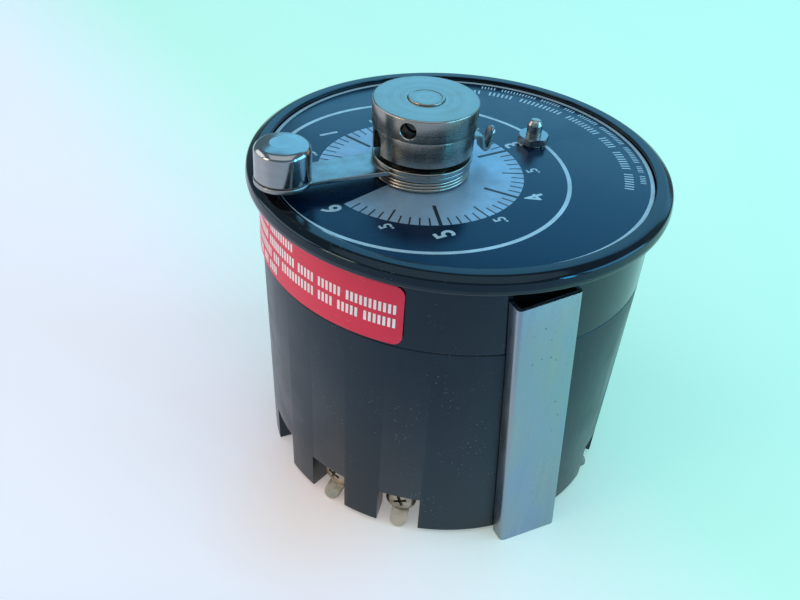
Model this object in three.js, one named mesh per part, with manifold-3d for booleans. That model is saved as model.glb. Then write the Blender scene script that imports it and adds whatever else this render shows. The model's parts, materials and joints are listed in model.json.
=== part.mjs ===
// A round panel-mount interval timer for the darkroom, lying on its back with the dial up.
// +Z is out of the dial, +Y is the top of the dial, and the origin is under the middle of the case,
// at the height of the two mounting brackets' feet. Millimetres.
import * as THREE from "three";
import { mergeVertices } from "three/addons/utils/BufferGeometryUtils.js";
import Module from "manifold-3d";

const wasm = await Module();
wasm.setup();

// ---- Driving dimensions: the case ----
const DIAL_Z = 91.1; // face of the dial above the bracket feet
const BEZEL_R = 57.15;
const DIAL_R = 52;
const SKIRT_R = 53.4; // front cover, just under the bezel
const SEAM_R = 53;
const SEAM_DEPTH = 23.9; // below the dial face
const REAR_R = 50.5; // rear rim of the tapered case
const RIM_Z = 1.3;
const WALL = 2.7;
const FLOOR_Z = 13.3; // underside of the recessed rear wall, and the top of the notches
const FLOOR_THICK = 3;
const BEZEL_UNDER = 3.5; // bezel's seating face below the dial face
const BEZEL_PROUD = 1.25;
const DIAL_THICK = 0.8;
const FRONT_WALL = 3.2; // underside of the front wall, below the dial face
const GAP = 0.05; // between faces that touch

// ---- The dial's hub and stop ----
const HUB_Y = 12.1; // the dial is eccentric to the case
const STOP_R = 37.2; // stop post from the hub
const STOP_ANGLE = -88; // degrees from +X, at the foot of the dial
const POST_R = 2.1;
const ARM_ANGLE = 83.4; // degrees from +X, with the pointer near 3
const GRIP_REACH = 37.8;

// ---- Terminals and brackets ----
const CASE_TURN = -4; // degrees, the rear case is clocked a little off the dial
const TERMINAL_AXIS = CASE_TURN + 90; // the middle of a row of notches
const NOTCH_PITCH = 25.4; // degrees
const NOTCH_WIDTH = 12;
const NOTCHES_PER_ROW = 5;
const FITTED_NOTCHES = [2, 1, -2]; // places in each row that carry a terminal
const SHEET = 1.1;
const BRACKET_REACH = 54.9; // outer face of the web from the case axis, at the foot
const BRACKET_WIDTH = 17.6;
const BRACKET_DEPTH = 6.5;
const BRACKET_TOP_DEPTH = 6.4; // front end below the dial face
const BRACKET_SPLAY = 1; // degrees outwards
const LEFT_BRACKET_LEAN = 4.9; // degrees sideways, from play round its screw
const BRACKET_SCREW_R = 42;

// ---- Movement ----
const SPINDLE_R = 3.2;
const FRONT_PLATE_Z = 78.1;
const REAR_PLATE_Z = 56;
const PLATE_THICK = 1.6;
const PLATE_R = 40;
const PILLAR_R = 3.2;
const PILLAR_PLACES = [20, 160, 270].map((angle) => polar(35, angle));
const CASE_SCREW_PLACES = [73.3, 253.3].map((angle) => polar(44.2, angle));
const MAIN_TEETH = 60;
const GEAR_TEETH = 48;
const PINION_TEETH = 12;
const MAIN_MODULE = 0.8;
const GEAR_MODULE = 0.6;
const BACKLASH = 0.22;
const PRESSURE = THREE.MathUtils.degToRad(20);
const ARBOR_ANGLE = -128.7; // arbor from the hub
const MOTOR_ANGLE = -25; // motor from the arbor

const HUB = [0, HUB_Y];
const STOP = along(HUB, STOP_R, STOP_ANGLE);
const ARBOR = along(HUB, ((MAIN_TEETH + PINION_TEETH) * MAIN_MODULE) / 2, ARBOR_ANGLE);
const MOTOR = along(ARBOR, ((GEAR_TEETH + PINION_TEETH) * GEAR_MODULE) / 2, MOTOR_ANGLE);

// ---- Facets round a circle ----
const LARGE = 72;
const MEDIUM = 32;
const SMALL = 14;

// ---- Materials ----
const look = (color, roughness, metalness) =>
  new THREE.MeshStandardMaterial({ color, roughness, metalness });
const bakelite = look("#17181b", 0.35, 0);
const blackCase = look("#1d1e20", 0.55, 0);
const dialPaint = look("#121a26", 0.4, 0);
const labelRed = look("#b3202f", 0.45, 0);
const turnedNickel = look("#b9bcc0", 0.3, 1);
const chrome = look("#d5d8dc", 0.12, 1);
const steel = look("#9a9ea3", 0.35, 1);
const springSteel = look("#7d7a74", 0.35, 1);
const chromate = look("#a8a06a", 0.35, 1);
const tinned = look("#a7997c", 0.4, 1);
const brass = look("#c5a04c", 0.3, 1);
const motorGrey = look("#6d7276", 0.5, 0.6);
const coilTape = look("#b08a2e", 0.6, 0);
const phenolic = look("#3b2415", 0.6, 0);
const whitePlastic = look("#dad8cf", 0.5, 0);

// ---- Helpers ----
function polar(radius, degrees) {
  const angle = THREE.MathUtils.degToRad(degrees);
  return [radius * Math.cos(angle), radius * Math.sin(angle)];
}

function along([x, y], distance, degrees) {
  const [dx, dy] = polar(distance, degrees);
  return [x + dx, y + dy];
}

// A body of revolution about Z from [radius, z] points, anticlockwise seen with the radius to the right.
function turned(profile, facets = MEDIUM) {
  const points = profile.map(([radius, z]) => new THREE.Vector2(radius, z));
  return new THREE.LatheGeometry(points, facets).rotateX(Math.PI / 2);
}

const disc = (radius, low, high, facets) =>
  turned([[0, low], [radius, low], [radius, high], [0, high]], facets);

const ring = (inner, outer, low, high, facets) =>
  turned([[inner, low], [outer, low], [outer, high], [inner, high], [inner, low]], facets);

const box = (x, y, z, centre) => new THREE.BoxGeometry(x, y, z).translate(...centre);

const outline = (points) => new THREE.Shape(points.map(([x, y]) => new THREE.Vector2(x, y)));

// A flat shape in XY, pulled up from low to high.
const slab = (shape, low, high, curveSegments = 12) =>
  new THREE.ExtrudeGeometry(shape, { depth: high - low, bevelEnabled: false, curveSegments })
    .translate(0, 0, low);

const hexagon = (acrossFlats, low, high) =>
  disc(acrossFlats / 2 / Math.cos(Math.PI / 6), low, high, 6);

function solid(geometry) {
  const bare = geometry.clone();
  bare.deleteAttribute("normal");
  bare.deleteAttribute("uv");
  const merged = mergeVertices(bare, 1e-4);
  return new wasm.Manifold(
    new wasm.Mesh({
      numProp: 3,
      vertProperties: merged.attributes.position.array,
      triVerts: new Uint32Array(merged.index.array),
    }),
  );
}

function geometryOf(body) {
  const mesh = body.getMesh();
  const geometry = new THREE.BufferGeometry();
  geometry.setAttribute("position", new THREE.BufferAttribute(mesh.vertProperties, 3));
  geometry.setIndex(new THREE.BufferAttribute(mesh.triVerts, 1));
  return geometry;
}

const cut = (base, ...tools) =>
  geometryOf(tools.reduce((body, tool) => body.subtract(solid(tool)), solid(base)));

const join = (base, ...pieces) =>
  geometryOf(pieces.reduce((body, piece) => body.add(solid(piece)), solid(base)));

function add(parent, name, geometry, material) {
  const mesh = new THREE.Mesh(geometry, material);
  mesh.name = name;
  parent.add(mesh);
  return mesh;
}

function group(parent, [x, y, z], degrees = 0) {
  const child = new THREE.Group();
  child.position.set(x, y, z);
  child.rotation.z = THREE.MathUtils.degToRad(degrees);
  parent.add(child);
  return child;
}

const timer = new THREE.Group();

// ---- Case ----
function frontCover(parent) {
  const inner = SEAM_R - WALL;
  const shell = turned(
    [
      [0, -FRONT_WALL], [inner, -FRONT_WALL], [inner, GAP / 2 - SEAM_DEPTH],
      [SEAM_R, GAP / 2 - SEAM_DEPTH], [SKIRT_R, -BEZEL_UNDER], [BEZEL_R - 0.7, -BEZEL_UNDER],
      [BEZEL_R, -2.6], [BEZEL_R, -1.2], [BEZEL_R - 1, 0.5], [BEZEL_R - 2.8, BEZEL_PROUD],
      [DIAL_R + 0.3, BEZEL_PROUD], [DIAL_R + 0.3, -DIAL_THICK - GAP], [0, -DIAL_THICK - GAP],
    ],
    LARGE,
  );
  const plateTop = FRONT_PLATE_Z + PLATE_THICK + GAP - DIAL_Z;
  const bossOverlap = 0.5; // how far a boss runs into the wall that carries it
  const movementBosses = PILLAR_PLACES.map(([x, y]) =>
    disc(5, plateTop, bossOverlap - FRONT_WALL, SMALL).translate(x, y, 0));
  const caseBosses = CASE_SCREW_PLACES.map(([x, y]) =>
    disc(4, 1 - SEAM_DEPTH, bossOverlap - FRONT_WALL, SMALL).translate(x, y, 0));
  const movementHoles = PILLAR_PLACES.map(([x, y]) =>
    disc(2.2, plateTop - 1, plateTop + 5.5, SMALL).translate(x, y, 0));
  const screwHoles = CASE_SCREW_PLACES.map(([x, y]) =>
    disc(2, -SEAM_DEPTH, -FRONT_WALL - 4, SMALL).translate(x, y, 0));
  const bushingHole = disc(5, -10, 2, MEDIUM).translate(...HUB, 0);
  const postHole = disc(POST_R + 0.1, -10, 2, SMALL).translate(...STOP, 0);
  const filled = join(shell, ...movementBosses, ...caseBosses);
  const shape = cut(filled, bushingHole, postHole, ...movementHoles, ...screwHoles);
  add(parent, "front_cover", shape, bakelite);
}

function notchAngles() {
  const half = (NOTCHES_PER_ROW - 1) / 2;
  const places = Array.from({ length: NOTCHES_PER_ROW }, (_, index) => index - half);
  return [0, 180].flatMap((side) => places.map((place) => TERMINAL_AXIS + side + place * NOTCH_PITCH));
}

function rearCase(parent) {
  const top = DIAL_Z - SEAM_DEPTH - GAP / 2;
  const thickRim = REAR_R - 7; // the rim is deep between the notches, to keep the terminals apart
  const shell = turned(
    [
      [0, FLOOR_Z], [thickRim, FLOOR_Z], [thickRim, RIM_Z], [REAR_R, RIM_Z], [SEAM_R, top],
      [SEAM_R - WALL, top], [REAR_R - WALL, FLOOR_Z + FLOOR_THICK], [0, FLOOR_Z + FLOOR_THICK],
    ],
    LARGE,
  );
  const bracketPlaces = [0, 180].map((side) => polar(BRACKET_SCREW_R, CASE_TURN + side));
  const bracketBosses = bracketPlaces.map(([x, y]) =>
    disc(5.5, RIM_Z, FLOOR_Z + 1, SMALL).translate(x, y, 0));
  const notches = notchAngles().map((angle) =>
    box(14, NOTCH_WIDTH, 2 * FLOOR_Z, [REAR_R - 2, 0, 0])
      .rotateZ(THREE.MathUtils.degToRad(angle)));
  const bracketHoles = bracketPlaces.map(([x, y]) => bracketScrewShape(0.25, 9).translate(x, y, 0));
  const screwHoles = CASE_SCREW_PLACES.map(([x, y]) =>
    disc(2, 0, FLOOR_Z + FLOOR_THICK + 1, SMALL).translate(x, y, 0));
  const headSeats = CASE_SCREW_PLACES.map(([x, y]) => disc(4.2, 0, FLOOR_Z, SMALL).translate(x, y, 0));
  const wireHoles = fittedAngles().map((angle) =>
    disc(1.6, 0, FLOOR_Z + FLOOR_THICK + 1, 12).translate(...polar(TERMINAL_ROOT_R, angle), 0));
  const filled = join(shell, ...bracketBosses);
  const shape = cut(filled, ...notches, ...bracketHoles, ...headSeats, ...screwHoles, ...wireHoles);
  add(parent, "rear_case", shape, blackCase);
}

function dial(parent) {
  const plate = disc(DIAL_R, -DIAL_THICK, 0, LARGE);
  const hubHole = disc(5, -2, 1, MEDIUM).translate(...HUB, 0);
  const postHole = disc(POST_R + 0.1, -2, 1, SMALL).translate(...STOP, 0);
  add(parent, "dial_plate", cut(plate, hubHole, postHole), dialPaint);
}

// The label is wrapped round the skirt below the bezel.
function sideLabel(parent) {
  const start = 39;
  const end = 135;
  const steps = 24;
  const inner = SKIRT_R + 0.15;
  const outer = inner + 0.25;
  const low = 1.1 - SEAM_DEPTH;
  const high = -BEZEL_UNDER - 2.2; // clear of a panel under the bezel
  const angles = Array.from({ length: steps + 1 }, (_, i) => start + ((end - start) * i) / steps);
  const band = outline([
    ...angles.map((angle) => polar(outer, angle)),
    ...angles.reverse().map((angle) => polar(inner, angle)),
  ]);
  add(parent, "side_label", slab(band, low, high), labelRed);
}

function caseScrews(parent) {
  CASE_SCREW_PLACES.forEach(([x, y], index) => {
    const seat = FLOOR_Z - GAP;
    const profile = [
      [0, seat - 2.2], [3.2, seat - 2.2], [3.8, seat - 1.6], [3.8, seat], [1.7, seat],
      [1.7, DIAL_Z - FRONT_WALL - 6], [0, DIAL_Z - FRONT_WALL - 6],
    ];
    const slot = box(9, 0.9, 1.2, [0, 0, seat - 2.4]);
    const screw = cut(turned(profile, SMALL), slot).translate(x, y, 0);
    add(parent, `case_screw_${index + 1}`, screw, steel);
  });
}

// ---- Terminals ----
const TERMINAL_ROOT_R = 41.5; // rivet of a terminal through the rear wall, from the case axis
const TAB_R = 45.2; // inner face of a terminal's upright tab

function fittedAngles() {
  return [0, 180].flatMap((side) =>
    FITTED_NOTCHES.map((place) => TERMINAL_AXIS + side + place * NOTCH_PITCH));
}

// An angle plate: a foot under the rear wall, an upright tab, and a rounded lug bent outwards below it.
function terminalPlate() {
  const thick = 0.9;
  const halfWidth = 4.4;
  const top = FLOOR_Z - 0.1;
  const lugHalf = 2.4;
  const lugReach = 3.4;
  const bendZ = 4;
  const bend = THREE.MathUtils.degToRad(35.6);
  const tabShape = outline([
    [top, -halfWidth], [top, halfWidth], [7.2, halfWidth], [5.6, 2.9], [bendZ - 0.3, lugHalf],
    [bendZ - 0.3, -lugHalf], [5.6, -2.9], [7.2, -halfWidth],
  ]);
  const upright = slab(tabShape, 0, thick).rotateY(-Math.PI / 2).translate(TAB_R + thick, 0, 0);
  const lugShape = new THREE.Shape();
  lugShape.moveTo(-0.2, -lugHalf);
  lugShape.absarc(lugReach, 0, lugHalf, -Math.PI / 2, Math.PI / 2, false);
  lugShape.lineTo(-0.2, lugHalf);
  const lug = slab(lugShape, -thick / 2, thick / 2, 5)
    .rotateY(bend)
    .translate(TAB_R + thick / 2, 0, bendZ);
  const tab = join(upright, lug);
  const foot = box(TAB_R - 38, 2 * halfWidth, thick, [(TAB_R + 38) / 2 + 0.1, 0, top - thick / 2]);
  const rivet = disc(1.3, top - thick / 2, FLOOR_Z + FLOOR_THICK + 1.2, 12)
    .translate(TERMINAL_ROOT_R, 0, 0);
  const screwHole = disc(2.3, -3, 3, 16).rotateY(Math.PI / 2).translate(TAB_R, 0, SCREW_Z);
  return cut(join(tab, foot, rivet), screwHole);
}

const SCREW_Z = 8.6; // terminal screws above the bracket feet

// A binding-head screw with its axis on +X and a cross recess in its head.
function terminalScrew() {
  const head = TAB_R + 1;
  const profile = [
    [0, head - 4.5], [2.05, head - 4.5], [2.05, head], [4.3, head], [4.3, head + 0.9],
    [3.4, head + 1.7], [0, head + 2.1],
  ];
  const recess = [[4, 0.8], [0.8, 4]].map(([y, x]) => box(x, y, 3, [0, 0, head + 2.4]));
  return cut(turned(profile, SMALL), ...recess).rotateY(Math.PI / 2).translate(0, 0, SCREW_Z);
}

function terminals(parent) {
  fittedAngles().forEach((angle, index) => {
    const place = group(parent, [0, 0, 0], angle);
    add(place, `terminal_plate_${index + 1}`, terminalPlate(), tinned);
    add(place, `terminal_screw_${index + 1}`, terminalScrew(), tinned);
  });
}

// ---- Mounting brackets ----
// A countersunk screw pointing up, grown all round by extra for its hole.
function bracketScrewShape(extra, reach) {
  const profile = [
    [0, 0.1 - extra], [3.6 + extra, 0.1 - extra], [3.6 + extra, 0.2], [2 + extra, 1.9],
    [2 + extra, reach + extra], [0, reach + extra],
  ];
  return turned(profile, SMALL);
}

// Channel section, its web on X = 0 and its flanges towards -X.
function channelSection() {
  const half = BRACKET_WIDTH / 2;
  const bend = 1.2; // outside radius of the two bends
  const section = new THREE.Shape();
  section.moveTo(-BRACKET_DEPTH, -half);
  section.absarc(-bend, bend - half, bend, -Math.PI / 2, 0, false);
  section.absarc(-bend, half - bend, bend, 0, Math.PI / 2, false);
  section.lineTo(-BRACKET_DEPTH, half);
  section.lineTo(-BRACKET_DEPTH, half - SHEET);
  section.lineTo(-SHEET, half - SHEET);
  section.lineTo(-SHEET, SHEET - half);
  section.lineTo(-BRACKET_DEPTH, SHEET - half);
  return section;
}

// The outside of the case, grown by the room that the brackets leave round it.
function caseEnvelope() {
  const room = 0.35;
  return turned([
    [0, -5], [REAR_R + room, -5], [REAR_R + room, RIM_Z], [SEAM_R + room, DIAL_Z - SEAM_DEPTH],
    [SKIRT_R + room, DIAL_Z - BEZEL_UNDER], [SKIRT_R + room, DIAL_Z], [0, DIAL_Z],
  ], LARGE);
}

// A channel standing on its foot, with flanges scribed to the case and a tongue turned in under it.
function bracketShape(lean) {
  const pivotHeight = 24; // the bracket leans about this height
  const height = DIAL_Z - BRACKET_TOP_DEPTH;
  const start = -4;
  const channel = slab(channelSection(), start - pivotHeight, height - pivotHeight, 4)
    .rotateX(THREE.MathUtils.degToRad(lean))
    .rotateY(THREE.MathUtils.degToRad(BRACKET_SPLAY))
    .translate(BRACKET_REACH + 0.4, 0, pivotHeight);
  const underFloor = box(60, 60, 10, [BRACKET_REACH, 0, -5]);
  const tongueThick = SHEET - 0.1;
  const inner = BRACKET_SCREW_R - 5.5;
  const outer = BRACKET_REACH - SHEET / 2;
  const tongue = box(outer - inner, 11, tongueThick, [(inner + outer) / 2, 0, tongueThick / 2]);
  const screwHole = bracketScrewShape(0.15, 9).translate(BRACKET_SCREW_R, 0, 0);
  const trimmed = cut(channel, underFloor, caseEnvelope());
  return cut(join(trimmed, tongue), screwHole);
}

function brackets(parent) {
  const names = ["right", "left"];
  names.forEach((name, index) => {
    const place = group(parent, [0, 0, 0], CASE_TURN + 180 * index);
    const lean = index * LEFT_BRACKET_LEAN;
    add(place, `bracket_${name}`, bracketShape(lean), chromate);
    const screw = bracketScrewShape(0, 8.4).translate(BRACKET_SCREW_R, 0, 0);
    const recess = [[4, 0.8], [0.8, 4]].map(([x, y]) => box(x, y, 2.2, [BRACKET_SCREW_R, 0, 0]));
    add(place, `bracket_screw_${name}`, cut(screw, ...recess), steel);
  });
}

// ---- Stop post ----
function stopPost(parent) {
  const place = group(parent, [...STOP, 0]);
  const profile = [[0, -6], [POST_R, -6], [POST_R, 6], [1.7, 6.7], [1, 7.1], [0, 7.2]];
  add(place, "stop_post", turned(profile, SMALL), chrome);
  add(place, "stop_washer", ring(POST_R + GAP, 4, GAP, 0.45, SMALL), steel);
  const bore = disc(POST_R + GAP, -1, 4, SMALL);
  add(place, "stop_nut", cut(hexagon(7.9, 0.5, 2.5).rotateZ(0.2), bore), steel);
}

// ---- Setting head: everything that the hand turns and presses ----
const ARM_LOW = 3.3;
const ARM_HIGH = 4.5;
const FLANGE_HIGH = 5.95;
const COLLAR_LOW = 7.5;
const COLLAR_HIGH = 14.35;
const KNOB_HIGH = 20.7;
const COLLAR_R = 13.1;
const KNOB_R = 13.6;
const NECK_R = 4.75;

function armShape() {
  const half = 5.6;
  const tipHalf = 4.7;
  const tipR = 7.4;
  const hubR = 12.9;
  const shape = new THREE.Shape();
  const leave = Math.asin(half / hubR);
  const arrive = Math.asin(tipHalf / tipR);
  shape.absarc(0, 0, hubR, leave, 2 * Math.PI - leave, false);
  shape.absarc(GRIP_REACH, 0, tipR, arrive - Math.PI, Math.PI - arrive, false);
  const bore = new THREE.Path();
  bore.absarc(0, 0, SPINDLE_R + 0.15, 0, 2 * Math.PI, true);
  shape.holes.push(bore);
  return slab(shape, ARM_LOW, ARM_HIGH, 14);
}

// A strip bent from a flat tab down and up into an upright blade, from [radius, z] points.
function pointerShape() {
  const width = 3.4;
  const centre = [
    [10.6, 8.5], [16.3, 8.5], [17, 7.8], [17.2, 5.2], [17.9, 4.3], [18.8, 4.9], [19.9, 10.2],
  ].map(([x, y]) => new THREE.Vector2(x, y));
  const half = 0.4;
  const offset = (side) =>
    centre.map((point, index) => {
      const before = centre[Math.max(index - 1, 0)];
      const after = centre[Math.min(index + 1, centre.length - 1)];
      const way = after.clone().sub(before).normalize();
      return [point.x - side * way.y * half, point.y + side * way.x * half];
    });
  const strip = outline([...offset(-1), ...offset(1).reverse()]);
  return slab(strip, -width / 2, width / 2).rotateX(Math.PI / 2);
}

function knob(parent) {
  const body = turned([
    [NECK_R + 0.08, COLLAR_HIGH + GAP], [KNOB_R - 0.15, COLLAR_HIGH + GAP],
    [KNOB_R, COLLAR_HIGH + GAP + 0.2], [KNOB_R, KNOB_HIGH - 0.35], [KNOB_R - 0.4, KNOB_HIGH],
    [NECK_R + 0.08, KNOB_HIGH], [NECK_R + 0.08, COLLAR_HIGH + GAP],
  ], 36);
  const screwHeight = 17.5;
  const holeR = 2.1;
  const hole = disc(holeR, 3, 20, SMALL).rotateY(Math.PI / 2).translate(0, 0, screwHeight);
  add(parent, "set_knob", cut(body, hole), turnedNickel);
  const socket = disc(0.9, 7, 10, 6);
  const screw = cut(disc(holeR - 0.15, NECK_R + 0.2, 9, 16), socket).rotateY(Math.PI / 2);
  add(parent, "knob_set_screw", screw.translate(0, 0, screwHeight), steel);
}

// Cup-shaped collar with a slot over the arm and a smaller one for the pointer.
function collar(parent) {
  const boreR = 10;
  const roof = 12.3;
  const body = turned([
    [SPINDLE_R + 0.12, roof], [boreR, roof], [boreR, COLLAR_LOW], [COLLAR_R - 0.2, COLLAR_LOW],
    [COLLAR_R, COLLAR_LOW + 0.2], [COLLAR_R, COLLAR_HIGH], [SPINDLE_R + 0.12, COLLAR_HIGH],
    [SPINDLE_R + 0.12, roof],
  ], 36);
  const slotHalf = 2.4;
  const slotTop = 13.5;
  const slot = new THREE.Shape();
  slot.moveTo(slotTop - slotHalf, slotHalf);
  slot.lineTo(COLLAR_LOW - 1, slotHalf);
  slot.lineTo(COLLAR_LOW - 1, -slotHalf);
  slot.lineTo(slotTop - slotHalf, -slotHalf);
  slot.absarc(slotTop - slotHalf, 0, slotHalf, -Math.PI / 2, Math.PI / 2, false);
  const window = slab(slot, 0, 6, 8).rotateY(-Math.PI / 2).translate(COLLAR_R + 1, 0, 0);
  const pointerDoor = box(6, 3.8, 3.4, [-COLLAR_R, 0, COLLAR_LOW]);
  add(parent, "collar", cut(body, window, pointerDoor), turnedNickel);
}

// Round wire wound on a helix, with its end turns closed.
function springShape() {
  const wireR = 0.4;
  const coilR = 12.3;
  const turns = 2.4;
  const low = 0.3 + wireR;
  const high = ARM_LOW - 0.1 - wireR;
  const stepsPerTurn = 15;
  const steps = turns * stepsPerTurn;
  const points = Array.from({ length: steps + 1 }, (_, index) => {
    const [x, y] = polar(coilR, (index / stepsPerTurn) * 360);
    return new THREE.Vector3(x, y, low + ((high - low) * index) / steps);
  });
  const wire = new THREE.Shape().absarc(0, 0, wireR, 0, 2 * Math.PI, false);
  return new THREE.ExtrudeGeometry(wire, {
    steps,
    curveSegments: 3,
    bevelEnabled: false,
    extrudePath: new THREE.CatmullRomCurve3(points),
  });
}

function settingHead(parent) {
  const head = group(parent, [...HUB, DIAL_Z], ARM_ANGLE);
  add(head, "head_spring", springShape(), springSteel);
  add(head, "set_arm", armShape(), steel);
  const grip = [
    [0, ARM_HIGH + GAP], [7.1, ARM_HIGH + GAP], [7.2, 4.9], [7.2, 12], [6.7, 13.1], [5.3, 13.7], [0, 14],
  ];
  add(head, "arm_grip", turned(grip, 36).translate(GRIP_REACH, 0, 0), chrome);
  add(head, "hub_flange", turned([
    [SPINDLE_R + 0.12, ARM_HIGH + GAP], [COLLAR_R, ARM_HIGH + GAP], [COLLAR_R, FLANGE_HIGH],
    [9, FLANGE_HIGH], [9, 7.6], [SPINDLE_R + 0.12, 7.6], [SPINDLE_R + 0.12, ARM_HIGH + GAP],
  ], 36), turnedNickel);
  add(head, "pointer", pointerShape().rotateZ(Math.PI), steel);
  collar(head);
  const knobTurn = 47.6; // the knob's set screw from the arm
  const knobPlace = group(head, [0, 0, 0], knobTurn);
  knob(knobPlace);
  spindle(head);
}

function spindle(parent) {
  const low = 50 - DIAL_Z;
  const clip = REAR_PLATE_Z - 0.4 - DIAL_Z;
  add(parent, "spindle", turned([
    [0, low], [SPINDLE_R, low], [SPINDLE_R, COLLAR_HIGH], [NECK_R, COLLAR_HIGH + GAP],
    [NECK_R, KNOB_HIGH + 0.1], [NECK_R - 0.3, KNOB_HIGH + 0.4], [0, KNOB_HIGH + 0.4],
  ], 24), steel);
  const circlip = new THREE.Shape();
  const opening = 0.5;
  circlip.absarc(0, 0, 5.6, opening, 2 * Math.PI - opening, false);
  circlip.absarc(0, 0, SPINDLE_R + 0.1, 2 * Math.PI - opening, opening, true);
  add(parent, "spindle_clip", slab(circlip, clip - 1, clip), springSteel);
}

function bushing(parent) {
  const place = group(parent, [...HUB, DIAL_Z]);
  const bore = SPINDLE_R + 0.1;
  const top = 0.15;
  add(place, "spindle_bushing", turned([
    [bore, -9.5], [4.7, -9.5], [4.7, top], [bore, top], [bore, -9.5],
  ], 24), brass);
  const nut = hexagon(14, -FRONT_WALL - 3, -FRONT_WALL - GAP);
  add(place, "bushing_nut", cut(nut, disc(4.75, -10, 2, 24)), brass);
}

// ---- Movement ----
// Involute teeth, the first one on +X: a flank runs from root to tip, and bends at the pitch on a pinion.
function gearOutline(teeth, module) {
  const pitchR = (teeth * module) / 2;
  const baseR = pitchR * Math.cos(PRESSURE);
  const involute = (angle) => Math.tan(angle) - angle;
  const halfAt = (radius) => {
    const angle = Math.acos(Math.min(1, baseR / radius));
    return Math.PI / (2 * teeth) - BACKLASH / (2 * pitchR) + involute(PRESSURE) - involute(angle);
  };
  const root = pitchR - 1.25 * module;
  const tip = pitchR + 0.8 * module;
  const radii = teeth > 30 ? [root, tip] : [root, pitchR, tip];
  const flank = radii.map((radius) => [radius, halfAt(radius)]);
  const points = [];
  for (let tooth = 0; tooth < teeth; tooth++) {
    const middle = (tooth * 2 * Math.PI) / teeth;
    for (const [radius, half] of flank)
      points.push([radius * Math.cos(middle - half), radius * Math.sin(middle - half)]);
    for (const [radius, half] of [...flank].reverse())
      points.push([radius * Math.cos(middle + half), radius * Math.sin(middle + half)]);
  }
  return points;
}

const gear = (teeth, module, low, high) => slab(outline(gearOutline(teeth, module)), low, high);

function movementPlates(parent) {
  const pillarHoles = PILLAR_PLACES.map(([x, y]) => disc(2.2, -1, 3, SMALL).translate(x, y, 0));
  const spindleHole = disc(SPINDLE_R + 0.25, -1, 3, 24).translate(...HUB, 0);
  const pivotHole = disc(1.35, -1, 3, 16).translate(...ARBOR, 0);
  const shaftHole = disc(5.5, -1, 3, 24).translate(...MOTOR, 0);
  const blank = disc(PLATE_R, 0, PLATE_THICK, 48);
  const front = cut(blank, spindleHole, pivotHole, ...pillarHoles);
  add(parent, "movement_front_plate", front.translate(0, 0, FRONT_PLATE_Z), brass);
  const rear = cut(blank, spindleHole, pivotHole, shaftHole, ...pillarHoles);
  add(parent, "movement_rear_plate", rear.translate(0, 0, REAR_PLATE_Z), brass);
  const low = REAR_PLATE_Z + PLATE_THICK + GAP;
  const high = FRONT_PLATE_Z - GAP;
  PILLAR_PLACES.forEach(([x, y], index) => {
    const pillar = turned([
      [0, REAR_PLATE_Z - 1.4], [2, REAR_PLATE_Z - 1.4], [2, low], [PILLAR_R, low], [PILLAR_R, high],
      [2, high], [2, FRONT_PLATE_Z + PLATE_THICK + 5], [0, FRONT_PLATE_Z + PLATE_THICK + 5],
    ], SMALL);
    add(parent, `pillar_${index + 1}`, pillar.translate(x, y, 0), steel);
  });
}

const WHEEL_Z = 70;
const ARBOR_GEAR_Z = 64;
const CAM_Z = 59;
const SLEEVE_R = 5;
const CAM_R = 12;

function driveTrain(parent) {
  const drive = group(parent, [...HUB, 0]);
  const bore = SPINDLE_R + 0.1;
  const fit = SLEEVE_R + 0.12;
  add(drive, "drive_sleeve", turned([
    [bore, 58.1], [SLEEVE_R, 58.1], [SLEEVE_R, 68.4], [9, 68.4], [9, WHEEL_Z - GAP],
    [SLEEVE_R, WHEEL_Z - GAP], [SLEEVE_R, 77.4], [bore, 77.4], [bore, 58.1],
  ], 24), brass);
  const spokes = [0, 72, 144, 216, 288].map((angle) =>
    disc(4.6, 0, 100, 20).translate(...polar(15.2, angle), 0));
  const wheel = gear(MAIN_TEETH, MAIN_MODULE, WHEEL_Z, WHEEL_Z + 2);
  const wheelPlace = group(drive, [0, 0, 0], ARBOR_ANGLE);
  add(wheelPlace, "main_wheel", cut(wheel, disc(fit, 0, 100, 24), ...spokes), brass);
  add(drive, "clutch_washer", ring(fit, 9, WHEEL_Z + 2.1, WHEEL_Z + 2.8, 24), steel);
  add(drive, "clutch_spring", turned([
    [fit, 74], [8.6, 72.95], [8.8, 73.45], [fit, 74.5], [fit, 74],
  ], 24), springSteel);
  add(drive, "clutch_collar", ring(fit, 7.5, 74.7, 76.6, 24), brass);
  const notchTurn = 104; // brings the notch under the switch leaf when the pointer reaches zero
  const notch = box(5, 3.2, 10, [CAM_R - 0.6, 0, CAM_Z]).rotateZ(THREE.MathUtils.degToRad(notchTurn));
  add(drive, "switch_cam", cut(disc(CAM_R, CAM_Z, CAM_Z + 2.5, 40), disc(fit, 0, 100, 24), notch), steel);
}

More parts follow.
